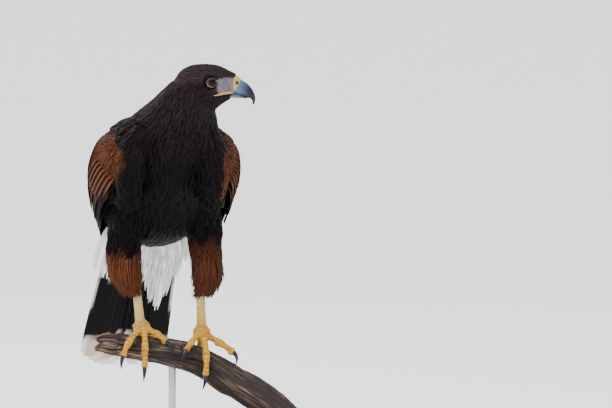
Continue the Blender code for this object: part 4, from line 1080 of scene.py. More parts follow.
def loose_coverts(name, rows, seed):
    """Soft white feathers along the tail's root: count, start, length, height, reach, centre."""
    chance = np.random.default_rng(seed)
    grids = []
    for count, start, length, height, root_reach, tip_reach, width, rounding, centre in rows:
        for k in range(count):
            spread = 2 * (k + chance.uniform(-0.3, 0.3)) / (count - 1) - 1
            end = length * (1 - rounding * spread ** 2) * chance.uniform(0.84, 1.05)
            rise = height + chance.uniform(-1.5, 1.5)
            shares = vane_outline(SOFT_ROWS, 0.4, 0.1, 0.6)
            root = (start, centre + spread * root_reach)
            grids.append(tail_vane(root, (start + end, centre + spread * tip_reach),
                                   (rise, rise + chance.uniform(-2, 2)), width * chance.uniform(
                                       0.6, 1.2), 0.3, shares, 0.12, chance.normal(0, 2.5)))
    return vanes_mesh(name, grids, *loose_marks(chance, len(grids), 0.0, 1.0))


tail = make_tail()
uppertail = loose_coverts("uppertail_feathers", [
    (30, 4, 66, 4.0, 16, 23, 7.0, 0.3, 0), (28, 0, 48, 6.5, 15, 21, 7.0, 0.3, 0),
    (24, -6, 36, 8.0, 14, 18, 7.0, 0.3, 0)], 21)
undertail = loose_coverts("undertail_feathers", [
    (90, 0, 86, -8.0, 38, 45, 5.5, 0.04, 0), (44, 2, 122, -14.0, 8, 10, 4.0, 0.25, 24),
    (80, -2, 86, -14.0, 34, 44, 5.5, 0.15, 0), (66, 0, 80, -18.0, 28, 42, 5.5, 0.2, 0),
    (66, -4, 66, -21.0, 24, 38, 5.5, 0.2, 0), (56, -8, 50, -24.0, 20, 32, 5.5, 0.3, 0),
    (46, -12, 36, -25.0, 16, 26, 5.0, 0.3, 0), (30, -6, 62, -14.0, 8, 11, 5.0, 0.3, 42)], 22)
print("tail feathers:", TAIL_PAIRS * 2)

# %% Thigh locks
LOCK_TIERS = [
    # place of the roots, place of the tips, height over the thigh, how many
    (4.1, 5.55, -5.0, 90), (3.7, 5.35, -4.0, 90), (3.2, 4.9, -3.0, 90), (2.7, 4.3, -2.4, 80),
]


def thigh_locks(side, seed):
    """Long loose feathers that hang past the hem of the thigh."""
    chance = np.random.default_rng(seed)
    grids = []
    t = np.linspace(0, 1, SOFT_ROWS)
    shares = vane_outline(SOFT_ROWS, 0.3, 0.05, 0.6)
    for start, end, height, count in LOCK_TIERS:
        for k in range(count):
            angle = 2 * math.pi * (k + chance.uniform(-0.3, 0.3)) / count
            last = end + chance.uniform(-0.4, 0.35)
            place = mix(start + chance.uniform(-0.7, 0.5), last, t)
            lift = height + chance.uniform(-0.8, 0.8) - 3.0 * (1 - smooth_step(0, 0.3, t))
            lift = lift + chance.uniform(1.0, 4.5) * t ** 2
            angles = angle + chance.normal(0, 0.12) * t
            here = thigh_point(side, place, angles, lift)
            beside = unit(thigh_point(side, place, angles + 0.05, lift) - here)
            beyond = unit(thigh_point(side, place, angles, lift + 1.0) - here)
            grids.append(vane_grid(here, beside, beyond, chance.uniform(1.8, 3.6) * shares, 0.25,
                                   0.15))
    # the far left thigh's locks are less rufous as painted shade
    rufous = THIGH_RUFOUS_FAR_SHADED[THIGH_RIGHT if side == "right" else THIGH_LEFT]
    return vanes_mesh("thigh_locks_" + side, grids, *loose_marks(chance, len(grids), rufous, 0.0))


locks = [thigh_locks("right", 31), thigh_locks("left", 32)]

# %% [markdown]
# Plumage material
# All the feather materials share one node group. It reads the marks for the ground colour, and
# the vane's own UV map for the pale shaft, the slanting barbs and the dark middle. The barbs also
# feed a bump, because real barbs are far finer than any mesh.

# %% Nodes for materials
NODE_ROWS = 5
NODE_STEP = 220


def node(tree, kind, **values):
    """New shader node with its properties set, laid out in columns in the order of making."""
    made = tree.nodes.new(kind)
    column, row = divmod(len(tree.nodes), NODE_ROWS)
    made.location = (NODE_STEP * column, NODE_STEP * row)
    for key, value in values.items():
        setattr(made, key, value)
    return made


def feed(tree, socket, value):
    """Give a socket a number, a colour or another node's output."""
    if isinstance(value, (int, float, tuple)):
        socket.default_value = value
    else:
        tree.links.new(value, socket)


def set_inputs(made, **values):
    """Set a node's inputs by name; an underscore stands for a space."""
    for name, value in values.items():
        made.inputs[name.replace("_", " ")].default_value = value


def maths(tree, operation, *values):
    made = node(tree, "ShaderNodeMath", operation=operation)
    for socket, value in zip(made.inputs, values):
        feed(tree, socket, value)
    return made.outputs[0]


def blended(tree, share, a, b):
    """Mix of two colours by a share; each may be a colour or a socket."""
    made = node(tree, "ShaderNodeMix", data_type="RGBA")
    for number, value in ((0, share), (6, a), (7, b)):
        feed(tree, made.inputs[number], value)
    return made.outputs[2]


def ramp(tree, value, stops):
    """Colour ramp over a value from 0 to 1 with (position, colour) stops."""
    made = node(tree, "ShaderNodeValToRGB")
    while len(made.color_ramp.elements) < len(stops):
        made.color_ramp.elements.new(1.0)
    for element, (position, colour) in zip(made.color_ramp.elements, stops):
        element.position = position
        element.color = colour
    tree.links.new(value, made.inputs[0])
    return made.outputs[0]


def map_range(tree, value, low, high, to_low=0.0, to_high=1.0):
    """A value that runs from to_low to to_high while another runs from low to high."""
    made = node(tree, "ShaderNodeMapRange")
    set_inputs(made, From_Min=low, From_Max=high, To_Min=to_low, To_Max=to_high)
    tree.links.new(value, made.inputs["Value"])
    return made.outputs[0]


def object_place(tree):
    return node(tree, "ShaderNodeTexCoord").outputs["Object"]


def attribute(tree, name, output="Fac"):
    return node(tree, "ShaderNodeAttribute", attribute_name=name).outputs[output]


def axes_of(tree, vector):
    made = node(tree, "ShaderNodeSeparateXYZ")
    tree.links.new(vector, made.inputs[0])
    return made.outputs


def vane_axes(tree):
    """Places across and down a vane, each from 0 to 1."""
    across, down, _ = axes_of(tree, node(tree, "ShaderNodeUVMap", uv_map="Vane").outputs[0])
    return across, down


def stretched(tree, vector, scale):
    """A place scaled on each axis; a small scale draws the marks out along that axis."""
    made = node(tree, "ShaderNodeMapping")
    set_inputs(made, Scale=scale)
    tree.links.new(vector, made.inputs["Vector"])
    return made.outputs[0]


def noise(tree, size, detail=4.0, rough=0.6, vector=None):
    """Noise whose bumps are about size millimetres, on object or other coordinates."""
    made = node(tree, "ShaderNodeTexNoise")
    set_inputs(made, Scale=1.0 / (size * MM), Detail=detail, Roughness=rough)
    tree.links.new(object_place(tree) if vector is None else vector, made.inputs["Vector"])
    return made.outputs["Fac"]


def cells(tree, scale, **values):
    """Distance from the middle or the edge of chance cells, so many to a metre."""
    made = node(tree, "ShaderNodeTexVoronoi", **values)
    set_inputs(made, Scale=scale)
    tree.links.new(object_place(tree), made.inputs["Vector"])
    return made.outputs["Distance"]


def shader_of(material):
    return material.node_tree.nodes["Principled BSDF"]


def new_material(name, roughness, metallic=0.0):
    material = bpy.data.materials.new(name)
    material.use_nodes = True
    set_inputs(shader_of(material), Roughness=roughness, Metallic=metallic)
    return material, material.node_tree, shader_of(material)


def paint(tree, shader, colour):
    feed(tree, shader.inputs["Base Color"], colour)


def bump(tree, shader, height, strength, distance):
    made = node(tree, "ShaderNodeBump")
    set_inputs(made, Strength=strength, Distance=distance)
    tree.links.new(height, made.inputs["Height"])
    tree.links.new(made.outputs[0], shader.inputs["Normal"])


# %% Plumage
DARK_PLUMAGE = (0.0036, 0.0027, 0.0031, 1)
HEAD_PLUMAGE = (0.030, 0.0185, 0.022, 1)
RUFOUS_PLUMAGE = (0.135, 0.042, 0.0165, 1)
WHITE_PLUMAGE = (0.86, 0.86, 0.88, 1)
# cream colour of the painted shade inside the white tail band
BAND_SHADE_PLUMAGE = (0.60, 0.47, 0.37, 1)
LORE_SKIN = (0.185, 0.165, 0.19, 1)
BARBS = 190.0
BARB_SLANT = 0.6
SHAFT_HALF = 0.03


def plumage_group():
    """Feather colour and barb height from marks and the vane's own map."""
    group = bpy.data.node_groups.new("plumage", "ShaderNodeTree")
    for name, way, kind in (("Streak", "INPUT", "Float"), ("Color", "OUTPUT", "Color"),
                            ("Height", "OUTPUT", "Float")):
        group.interface.new_socket(name, in_out=way, socket_type="NodeSocket" + kind)
    streak = node(group, "NodeGroupInput").outputs[0]
    outputs = node(group, "NodeGroupOutput")
    marks = node(group, "ShaderNodeAttribute", attribute_name="Marks")
    split = node(group, "ShaderNodeSeparateColor")
    group.links.new(marks.outputs["Color"], split.inputs[0])
    rufous_mark, white_mark, tone_mark = split.outputs
    chance = marks.outputs["Alpha"]
    across, down = vane_axes(group)
    off_shaft = maths(group, "ABSOLUTE", maths(group, "SUBTRACT", across, 0.5))
    slant = maths(group, "SUBTRACT", down, maths(group, "MULTIPLY", off_shaft, BARB_SLANT))
    barbs = maths(group, "SINE", maths(group, "MULTIPLY", slant, BARBS))
    shaft = maths(group, "LESS_THAN", off_shaft, SHAFT_HALF)
    middle = maths(group, "SUBTRACT", 1.0, maths(group, "MULTIPLY", off_shaft, 3.4))
    middle = maths(group, "MAXIMUM", middle, 0.0)
    middle = maths(group, "MULTIPLY", middle, streak)
    middle = maths(group, "MULTIPLY", middle, chance)
    middle = maths(group, "MINIMUM", middle, 0.92)
    rufous = blended(group, middle, RUFOUS_PLUMAGE, DARK_PLUMAGE)
    ground = blended(group, rufous_mark, DARK_PLUMAGE, rufous)
    double_tone = maths(group, "MULTIPLY", tone_mark, 2.0)
    head_share = maths(group, "MINIMUM", double_tone, 1.0)
    lore = maths(group, "MAXIMUM", maths(group, "SUBTRACT", double_tone, 1.0), 0.0)
    ground = blended(group, head_share, ground, HEAD_PLUMAGE)
    ground = blended(group, lore, ground, LORE_SKIN)
    # a high tone turns white into the tail band's painted shade colour
    pale = blended(group, head_share, WHITE_PLUMAGE, BAND_SHADE_PLUMAGE)
    ground = blended(group, white_mark, ground, pale)
    bright = maths(group, "ADD", maths(group, "MULTIPLY", chance, 0.6), 0.7)
    bright = maths(group, "ADD", bright, maths(group, "MULTIPLY", barbs, 0.08))
    bright = maths(group, "ADD", bright, maths(group, "MULTIPLY", shaft, 0.12))
    scaled = node(group, "ShaderNodeVectorMath", operation="SCALE")
    group.links.new(ground, scaled.inputs[0])
    group.links.new(bright, scaled.inputs["Scale"])
    group.links.new(scaled.outputs[0], outputs.inputs[0])
    group.links.new(barbs, outputs.inputs[1])
    return group


PLUMAGE = plumage_group()


def plumage_material(name, streak, roughness, sheen):
    """One kind of feather; streak is how dark its middle may be."""
    material, tree, shader = new_material(name, roughness)
    made = node(tree, "ShaderNodeGroup")
    made.node_tree = PLUMAGE
    made.inputs[0].default_value = streak
    paint(tree, shader, made.outputs[0])
    bump(tree, shader, made.outputs[1], 0.25, 0.0002)
    set_inputs(shader, Sheen_Weight=sheen, Sheen_Roughness=0.5, Specular_IOR_Level=0.04)
    return material


dark_feather = plumage_material("dark_feather", 0.0, 0.5, 0.004)
rufous_feather = plumage_material("rufous_feather", 2.4, 0.7, 0.004)
white_feather = plumage_material("white_feather", 0.0, 0.7, 0.05)
tail_feather = plumage_material("tail_feather", 0.0, 0.5, 0.0)
FEATHER_MATERIALS = {"dark_feather": dark_feather, "rufous_feather": rufous_feather}

dress(skin, dark_feather, ("torso", "neck", "head"))
for piece, slot in coats:
    dress(piece, FEATHER_MATERIALS[slot])
for piece in wing_pieces:
    word = piece.name.rsplit("_", 1)[1]
    dress(piece, rufous_feather, ("wing_" + word,))
for piece, word in zip(locks, ("right", "left")):
    dress(piece, rufous_feather, ("thigh_" + word,))
dress(tail, tail_feather, ("tail",))
dress(uppertail, white_feather, ("uppertail_coverts",))
dress(undertail, white_feather, ("undertail_coverts",))

# %% [markdown]
# Eyes
# A hawk's eye is a large ball of which the lids leave a small round window. The colour rings run
# round the line of sight, so each point of the ball stores its angle from that line, and the
# material turns the angle into pupil, iris and rim. A clear coat gives the wet shine.

# %% Eyes
BROW_SHIELD = [(-6.5, 22.4, 3.9), (-2.5, 24.2, 4.9), (2.5, 24.3, 5.2), (7.5, 22.3, 5.0),
               (12.0, 18.6, 4.8)]
BROW_SHIELD_RADII = [0.3, 0.8, 1.05, 0.85, 0.3]
GAZE_AHEAD = 0.35
LID_WIDE, LID_TOP, LID_LOW, LID_PROUD = 5.9, 4.1, 4.9, 0.25
LID_SECTION = 14
PALE_LID_ANGLE = math.radians(222)
EYE_RINGS = [
    # angle from the line of sight in radians, colour
    (0.00, (0.0012, 0.0012, 0.002, 1)), (0.32, (0.0012, 0.0012, 0.002, 1)),
    (0.35, (0.014, 0.005, 0.002, 1)), (0.46, (0.026, 0.009, 0.003, 1)),
    (0.58, (0.070, 0.025, 0.006, 1)), (0.66, (0.008, 0.004, 0.003, 1)),
    (0.90, (0.004, 0.003, 0.003, 1)),
]


def gaze_of(side):
    return unit(OUTWARD * side + AHEAD * GAZE_AHEAD)


def make_eye(name, side):
    centre = in_head(0, side * EYE_OUT, 0)
    bpy.ops.object.select_all(action="DESELECT")
    bpy.ops.mesh.primitive_uv_sphere_add(segments=72, ring_count=48, radius=EYE_RADIUS * MM,
                                         location=Vector(centre * MM))
    eye = bpy.context.object
    eye.name = name + "_ball"
    settle(eye)
    bpy.ops.object.shade_smooth()
    away = unit(mesh_points(eye) - centre)
    store_value(eye, "Gaze", np.arccos(np.clip(away @ gaze_of(side), -1, 1)))
    return eye


def hoop(name, path, radii, middle):
    """Closed ring of round sections along a closed path, from a torus primitive."""
    bpy.ops.object.select_all(action="DESELECT")
    bpy.ops.mesh.primitive_torus_add(major_segments=len(path), minor_segments=LID_SECTION)
    piece = bpy.context.object
    piece.name = name
    forward = unit(np.roll(path, -1, 0) - np.roll(path, 1, 0))
    spoke = unit(path - middle)
    spoke = unit(spoke - forward * (spoke * forward).sum(1, keepdims=True))
    over = np.cross(forward, spoke)
    angle = circle(LID_SECTION)
    ring = (path[:, None] + spoke[:, None] * (radii[:, None] * np.cos(angle))[..., None]
            + over[:, None] * (radii[:, None] * np.sin(angle))[..., None])
    set_points(piece, ring)
    return turned_out(piece)


def make_lid(name, side):
    """Fleshy rim of the lids, drawn forward to a corner and close over the ball."""
    centre = in_head(0, side * EYE_OUT, 0)
    gaze = gaze_of(side)
    level = unit(AHEAD - gaze * (AHEAD @ gaze))
    angle = circle(72)
    corner = 1 + 0.14 * np.exp(-(np.minimum(angle, 2 * math.pi - angle) / 0.5) ** 2)
    wide = LID_WIDE * np.cos(angle) * corner
    high = np.where(np.sin(angle) > 0, LID_TOP, LID_LOW) * np.sin(angle)
    reach = EYE_RADIUS + LID_PROUD
    deep = np.sqrt(np.maximum(reach ** 2 - wide ** 2 - high ** 2, 4.0))
    path = centre + np.outer(deep, gaze) + np.outer(wide, level) + np.outer(high, UP)
    radii = 0.42 + 0.5 * np.maximum(np.sin(angle), 0)
    lid = hoop(name + "_lid", path, radii, centre + gaze * deep.mean())
    away = mesh_points(lid) - centre
    turn = np.arctan2(away @ UP, away @ level)
    # pale yellow only at the back and low down; elsewhere the lid is painted dark, partly as shade
    # from the brow
    store_value(lid, "Pale", np.exp(-((np.mod(turn, 2 * math.pi) - PALE_LID_ANGLE) / 0.75) ** 2))
    return lid


def make_brow(name, side):
    """The bony ridge that shades the eye."""
    place = np.linspace(0, len(BROW_SHIELD) - 1, 30)
    line = along(BROW_SHIELD, place)
    line = in_head(line[:, 0], side * line[:, 1], line[:, 2])
    return limb(name + "_brow", line, np.interp(place, range(len(BROW_SHIELD)),
                                                BROW_SHIELD_RADII), 16)


# %% Eye and skin materials
SKIN_SCATTER = (0.003, 0.0015, 0.0008)
BROW_DARK = (0.012, 0.009, 0.011, 1)
BROW_DEEP = (0.006, 0.005, 0.006, 1)
LID_YELLOW = (0.24, 0.19, 0.09, 1)
LID_DEEP = (0.15, 0.12, 0.08, 1)
# dark lid skin, in part painted shade from the brow above
LID_DARK_AND_BROW_SHADE = (0.010, 0.008, 0.009, 1)


def eye_material():
    """Rings of colour round the line of sight, with fine fibres, under a thin wet coat."""
    material, tree, shader = new_material("eye_glass", 0.35)
    fibres = maths(tree, "MULTIPLY", noise(tree, 0.9), 0.09)
    value = maths(tree, "ADD", attribute(tree, "Gaze"), maths(tree, "SUBTRACT", fibres, 0.045))
    paint(tree, shader, ramp(tree, value, EYE_RINGS))
    set_inputs(shader, Specular_IOR_Level=0.05, Coat_Weight=0.16, Coat_Roughness=0.03)
    return material


def skin_material(name, colour, deep, roughness, size, strength):
    """Bare skin: two tones of noise, fine pebbles and a soft shine."""
    material, tree, shader = new_material(name, roughness)
    paint(tree, shader, blended(tree, noise(tree, size * 4), colour, deep))
    bump(tree, shader, cells(tree, 1 / (size * MM)), strength, 0.0003)
    set_inputs(shader, Subsurface_Weight=0.08, Subsurface_Radius=SKIN_SCATTER)
    return material


def lid_material():
    """Dark skin, in part painted shade from the brow, that turns pale yellow where the lid stores
    Pale.
    """
    material = skin_material("lid_skin", LID_YELLOW, LID_DEEP, 0.5, 0.5, 0.4)
    tree, shader = material.node_tree, shader_of(material)
    yellow = shader.inputs["Base Color"].links[0].from_socket
    paint(tree, shader, blended(tree, attribute(tree, "Pale"), LID_DARK_AND_BROW_SHADE, yellow))
    return material


eye_glass = eye_material()
brow_skin = skin_material("brow_skin", BROW_DARK, BROW_DEEP, 0.75, 0.5, 0.4)
set_inputs(shader_of(brow_skin), Specular_IOR_Level=0.08)
lid_skin = lid_material()
for word, side in (("right", 1), ("left", -1)):
    dress(make_eye("eye_" + word, side), eye_glass, ("eye_" + word,))
    dress(make_lid("eye_" + word, side), lid_skin)
    dress(make_brow("eye_" + word, side), brow_skin)
print("eyes made")

# %% [markdown]
# Cere, bill and gape
# The cere is the waxy yellow skin at the bill's root, the bill a hooked horn sheath that darkens
# to its tip and, as painted shade, low down, and the gape a yellow double lip that runs back under
# the eye. Cere and bill are rolled from egg-shaped sections; the nostrils are pressed in with small
# balls and painted dark inside as painted shade.

# %% Bill sections
CERE = [
    # top (forward, up), bottom (forward, up), half width
    ((17.5, 7.6), (13.0, -12.0), 11.4), ((21.5, 7.6), (18.5, -11.6), 10.6),
    ((24.6, 7.3), (20.0, -11.0), 9.6), ((28.0, 6.3), (22.0, -11.0), 8.9),
    ((30.8, 3.7), (24.0, -11.2), 8.0), ((31.5, 2.6), (24.8, -11.2), 7.2),
]
UPPER_BILL = [
    ((27.6, 5.6), (20.5, -10.8), 7.9), ((30.4, 3.6), (23.5, -11.8), 7.6),
    ((32.6, 2.3), (27.0, -12.8), 7.2), ((38.5, -1.7), (33.0, -14.6), 6.0),
    ((43.2, -7.4), (38.0, -15.9), 4.6), ((45.9, -13.8), (41.4, -17.0), 3.2),
    ((46.1, -18.8), (43.0, -19.6), 1.8), ((44.8, -22.8), (43.4, -23.2), 0.8),
]
LOWER_BILL = [
    ((20.3, -10.9), (20.3, -16.2), 8.4), ((25.3, -11.2), (25.0, -16.4), 7.3),
    ((30.5, -12.2), (29.5, -16.4), 5.8), ((35.0, -14.2), (34.5, -16.6), 4.1),
    ((38.0, -15.4), (37.8, -16.8), 2.0),
]
LIP_LINE = [(3.0, 22.6, -13.2), (9.0, 20.4, -12.0), (15.0, 16.6, -10.9), (20.0, 12.6, -10.4),
            (23.6, 10.2, -10.4)]
NOSTRIL = (28.0, 8.1, -0.3)
NOSTRIL_RADIUS = 2.05
BILL_CREST = 0.62


def bill_rings(sections, count, points, ridge=0.0):
    """Egg-shaped rings between the top and bottom points of a bill's sections."""
    table = np.array([[*top, *low, half] for top, low, half in sections])
    rows = along(table, np.linspace(0, len(table) - 1, count))
    angle = circle(points)
    top = in_head(rows[:, 0], 0 * rows[:, 0], rows[:, 1])
    low = in_head(rows[:, 2], 0 * rows[:, 0], rows[:, 3])
    up = unit(top - low)
    height = np.linalg.norm(top - low, axis=1)[:, None]
    rise = np.where(np.sin(angle) > 0, BILL_CREST, 1 - BILL_CREST) * np.sin(angle) * height
    wide = rows[:, 4:5] * np.cos(angle) * (1 - ridge * np.maximum(np.sin(angle), 0) ** 2)
    middle = top - up * height * BILL_CREST
    return middle[:, None] + OUTWARD * wide[..., None] + up[:, None] * rise[..., None]


def nostril_places():
    forward, out, up = NOSTRIL
    return [in_head(forward, side * out, up) for side in (-1, 1)]


cere = rolled("cere_skin_piece", bill_rings(CERE, 70, 96))
for place in nostril_places():
    press_hollow(cere, place, NOSTRIL_RADIUS)
cere_points = mesh_points(cere)
hollow = np.min([np.linalg.norm(cere_points - place, axis=1) for place in nostril_places()], axis=0)
# painted shade inside the nostrils
store_value(cere, "NostrilShade", smooth_step(NOSTRIL_RADIUS * 1.1, NOSTRIL_RADIUS, hollow))
cere_local = cere_points - HEAD_EYE_LEVEL
store_value(cere, "Back", np.maximum(smooth_step(26.0, 21.5, cere_local @ AHEAD),
                                     0.8 * smooth_step(-5.0, -10.0, cere_local[:, 2])))
upper = rolled("upper_bill_horn", bill_rings(UPPER_BILL, 90, 72, 0.25))
lower = rolled("lower_bill_horn", bill_rings(LOWER_BILL, 50, 60))
for horn in (upper, lower):
    local = mesh_points(horn) - HEAD_EYE_LEVEL
    # Tip rises towards the hook and, by the height term, low down on both horns; the darker lower
    # bill is painted shade
    store_value(horn, "Tip", smooth_step(27, 46, local @ AHEAD - 0.35 * local[:, 2]))

# %% Gape
LIP_RADII = (0.4, 0.62)
LIP_SPREAD = 0.7
LIP_SUNK = 0.2


def make_lips():
    """Upper and lower lip on each side, rounded off together under the eye."""
    lips = []
    share = np.linspace(0, 1, 40)
    path = along(LIP_LINE, np.linspace(0, len(LIP_LINE) - 1, 40))
    radii = mix(*LIP_RADII, np.sin(share * math.pi)) * np.sqrt(np.clip(share * 14, 0.2, 1))
    for side in (-1, 1):
        for turn in (-1, 1):
            spread = turn * LIP_SPREAD * np.sqrt(np.clip(share * 6, 0.02, 1))
            line = in_head(path[:, 0], side * (path[:, 1] - LIP_SUNK), path[:, 2] + spread)
            lips.append(limb("lip", line, radii, 16))
    return joined("gape_lips", lips)


def cere_material():
    """Waxy yellow skin, faded at the back and low down, with painted shade inside the nostrils."""
    material, tree, shader = new_material("cere_skin", 0.42)
    yellow = blended(tree, noise(tree, 3.0), (0.50, 0.34, 0.05, 1), (0.40, 0.30, 0.09, 1))
    faded = blended(tree, attribute(tree, "Back"), yellow, (0.20, 0.175, 0.165, 1))
    paint(tree, shader, blended(tree, attribute(tree, "NostrilShade"), faded, (0.02, 0.015, 0.012, 1)))
    bump(tree, shader, noise(tree, 0.7), 0.3, 0.0003)
    set_inputs(shader, Subsurface_Weight=0.1, Subsurface_Radius=SKIN_SCATTER)
    return material


def horn_material(name, pale, middle, dark):
    """Polished horn that darkens as its Tip value rises: to the tip, and on the bill also low down
    as painted shade.
    """
    material, tree, shader = new_material(name, 0.28)
    cloud = maths(tree, "MULTIPLY", noise(tree, 4.0), 0.25)
    tip = maths(tree, "ADD", attribute(tree, "Tip"), maths(tree, "SUBTRACT", cloud, 0.125))
    paint(tree, shader, ramp(tree, tip, [(0.0, pale), (0.45, middle), (0.95, dark)]))
    bump(tree, shader, noise(tree, 0.6), 0.12, 0.0002)
    set_inputs(shader, Specular_IOR_Level=0.25, Coat_Weight=0.15, Coat_Roughness=0.15)
    return material


cere_skin = cere_material()
bill_horn = horn_material("bill_horn", (0.105, 0.145, 0.225, 1), (0.050, 0.078, 0.135, 1),
                          (0.006, 0.007, 0.010, 1))
dress(cere, cere_skin, ("cere",))
dress(upper, bill_horn, ("bill_upper",))
dress(lower, bill_horn, ("bill_lower",))
lip_skin = skin_material("lip_skin", (0.60, 0.40, 0.06, 1), (0.50, 0.30, 0.08, 1), 0.4, 0.6, 0.3)
dress(make_lips(), lip_skin)
print("bill made")

# %% [markdown]
# Legs and feet
# Shank and toes are round limbs along listed lines, melted into one foot. Rows of scutes,
# the hard plates that lie over the front of the shank and the top of every toe, are added as
# thin raised shells, each one over the root of the next.

# %% Leg lines
SHANKS = {
    # top (x, y), bottom (x, y), height of the bottom
    "right": ((-45.0, 6.0), (-41.0, 0.0), 143.8),
    "left": ((23.6, 6.0), (24.5, 0.0), 138.4),
}
SHANK_HALF_WIDTH = 4.6
SHANK_HALF_DEPTH = 5.6
ANKLES = {"right": (-38.6, -2.0, 137.5), "left": (24.2, -2.0, 131.0)}
TOES = {
    "right": {
        1: [(-36, 5, 135.5), (-35, 13, 129), (-35, 17.5, 117), (-35, 16, 106)],
        2: [(-34, -6, 135.5), (-25, -11, 131), (-15.8, -13.8, 124)],
        3: [(-38, -7, 137), (-38.5, -15, 128), (-38.8, -18, 112), (-38.8, -16, 97.5)],
        4: [(-42, -6, 136), (-50, -13, 130), (-58, -16.5, 119), (-61.7, -16.5, 109.5)],
    },
    "left": {
        1: [(24, 5, 128), (25, 14, 120.5), (26, 20, 106), (26, 18.5, 94)],
        2: [(18.5, -6, 128), (11, -14, 122), (5, -17.5, 114.5)],
        3: [(24.5, -7, 130), (25.5, -16, 119), (25.8, -20.5, 103), (25.5, -19, 88)],
        4: [(30, -6, 128), (42, -12, 121), (55.5, -15, 111.5)],
    },
}
CLAW_TIPS = {
    "right": {1: (-35, 10, 92), 2: (-8.9, -18.5, 107), 3: (-39.5, -12, 81.5), 4: (-63, -14, 95)},
    "left": {1: (26.5, 12, 80), 2: (-2.5, -19.5, 99.5), 3: (22.4, -14, 72), 4: (57.2, -17, 97)},
}
TOE_RADII = [4.6, 3.6, 3.3, 3.1]
TOE_KNUCKLES = 3
TOE_RINGS = 48
SHANK_RINGS = 40
CUFF_FOLDS = (0.42, 0.62, 0.8)
BRANCH = [
    # x, z, radius
    (-84.5, 122.0, 9.0), (-72, 120.6, 11.0), (-56, 118.5, 12.2), (-30, 115, 13.2),
    (-3, 109.9, 14.6), (26, 99.6, 15.2), (52, 83.7, 16.2), (93, 57.3, 16.8),
    (119.2, 35.5, 16.2),
]


def toe_line(side, digit):
    keys = [ANKLES[side]] + TOES[side][digit]
    return along(keys, np.linspace(0, len(keys) - 1, TOE_RINGS))


def toe_radii():
    t = np.linspace(0, 1, TOE_RINGS)
    base = along([[radius] for radius in TOE_RADII], t * (len(TOE_RADII) - 1))[:, 0]
    return base + 0.5 * np.cos(2 * math.pi * TOE_KNUCKLES * t)


def shank_line(side):
    (top_x, top_y), (low_x, low_y), low = SHANKS[side]
    top = along(THIGH_SECTIONS[side], THIGH_END)[2] + 6.0
    t = np.linspace(0, 1, SHANK_RINGS)
    return np.stack([mix(top_x, low_x, t), mix(top_y, low_y, t), mix(top, low, t)], 1)


def branch_line(count):
    """Centre line and radii of the branch at a number of places along it."""
    x, z, radius = along(BRANCH, np.linspace(0, len(BRANCH) - 1, count)).T
    return np.stack([x, 0 * x, z], 1), radius[:, None]


def branch_axis(points):
    """Nearest places on the branch's centre line."""
    line = branch_line(200)[0]
    return line[np.argmin(np.linalg.norm(points[:, None] - line[None], axis=2), axis=1)]


def make_foot(side):
    """Shank, ankle, pads and toes as one melted form."""
    line = shank_line(side)
    swell = np.interp(np.linspace(0, 1, len(line)), (0, 0.3, 0.7, 1), (1, 0.94, 0.97, 1.14))
    rings = [oval(line[i], ACROSS, BACK, SHANK_HALF_WIDTH * swell[i], SHANK_HALF_DEPTH * swell[i],
                  SHANK_HALF_DEPTH * swell[i], 28) for i in range(len(line))]
    ankle = np.array(ANKLES[side])
    last = line[-1]
    collar = np.linspace(last + UP, ankle - UP * 4, 16)
    forms = [rolled("shank_form", rings), limb("collar_form", collar, np.interp(
        range(16), (0, 5, 9, 12, 15), (5.6, 8.4, 9.3, 8.8, 5.2)), 28)]
    for fold in CUFF_FOLDS:
        centre = mix(collar[0], collar[-1], fold)
        turn = np.linspace(0, 2 * math.pi, 30)
        path = centre + np.outer(np.cos(turn) * 8.2, ACROSS) + np.outer(np.sin(turn) * 7.8, BACK)
        forms.append(limb("fold_form", path, np.full(30, 1.15), 12))
    for digit in TOES[side]:
        path = toe_line(side, digit)
        forms.append(limb("toe_form", path, toe_radii(), 24))
        away = unit(path - branch_axis(path))
        for knuckle in range(1, TOE_KNUCKLES + 1):
            i = int(len(path) * (knuckle - 0.12) / TOE_KNUCKLES) - 1
            pad = path[i] - away[i] * 1.5
            span = np.linspace(pad - unit(path[i] - path[i - 4]) * 3.4,
                               pad + unit(path[i] - path[i - 4]) * 3.4, 9)
            forms.append(limb("pad_form", span, 3.6 * np.sin(np.linspace(0.35, 2.79, 9)), 18))
    return melted("foot_skin_" + side, forms, 0.62, 3)


# %% Scutes
SCUTE_PROUD = 0.62


def row_at(rows, where, spot):
    """The point at a spot between rows whose places are given."""
    return np.array([np.interp(spot, where, rows[:, axis]) for axis in range(3)])


def scute_grids(path, radii, outward, wide, first, last, count, deep_share=1.0):
    """Thin shells over a limb: each row is lifted at its lower edge, over the next one."""
    grids = []
    where = np.linspace(0, 1, len(path))
    for k in range(count):
        a = mix(first, last, k / count)
        b = mix(first, last, (k + 1.22) / count)
        grid = []
        for r, spot in enumerate(np.linspace(a, b, 5)):
            centre = row_at(path, where, spot)
            way = unit(row_at(path, where, spot + 0.02) - centre + 1e-9)
            out = unit(row_at(outward, where, spot))
            out = unit(out - way * (out @ way))
            side = np.cross(way, out)
            radius = np.interp(spot, where, radii)
            angle = np.linspace(-wide, wide, 11)
            edge = 1 - (np.abs(angle) / wide) ** 6
            lift = SCUTE_PROUD * (0.25 + 0.75 * r / 4) * (0.4 + 0.6 * edge)
            if r == 4:
                lift = lift * 0.45
            high = (centre + np.outer(np.cos(angle) * (radius * deep_share + lift), out)
                    + np.outer(np.sin(angle) * (radius + lift), side))
            low = (centre + np.outer(np.cos(angle) * (radius * deep_share - 0.5), out)
                   + np.outer(np.sin(angle) * (radius - 0.5), side))
            grid.append(np.concatenate([high, low[::-1]]))
        grids.append(np.array(grid))
    return grids


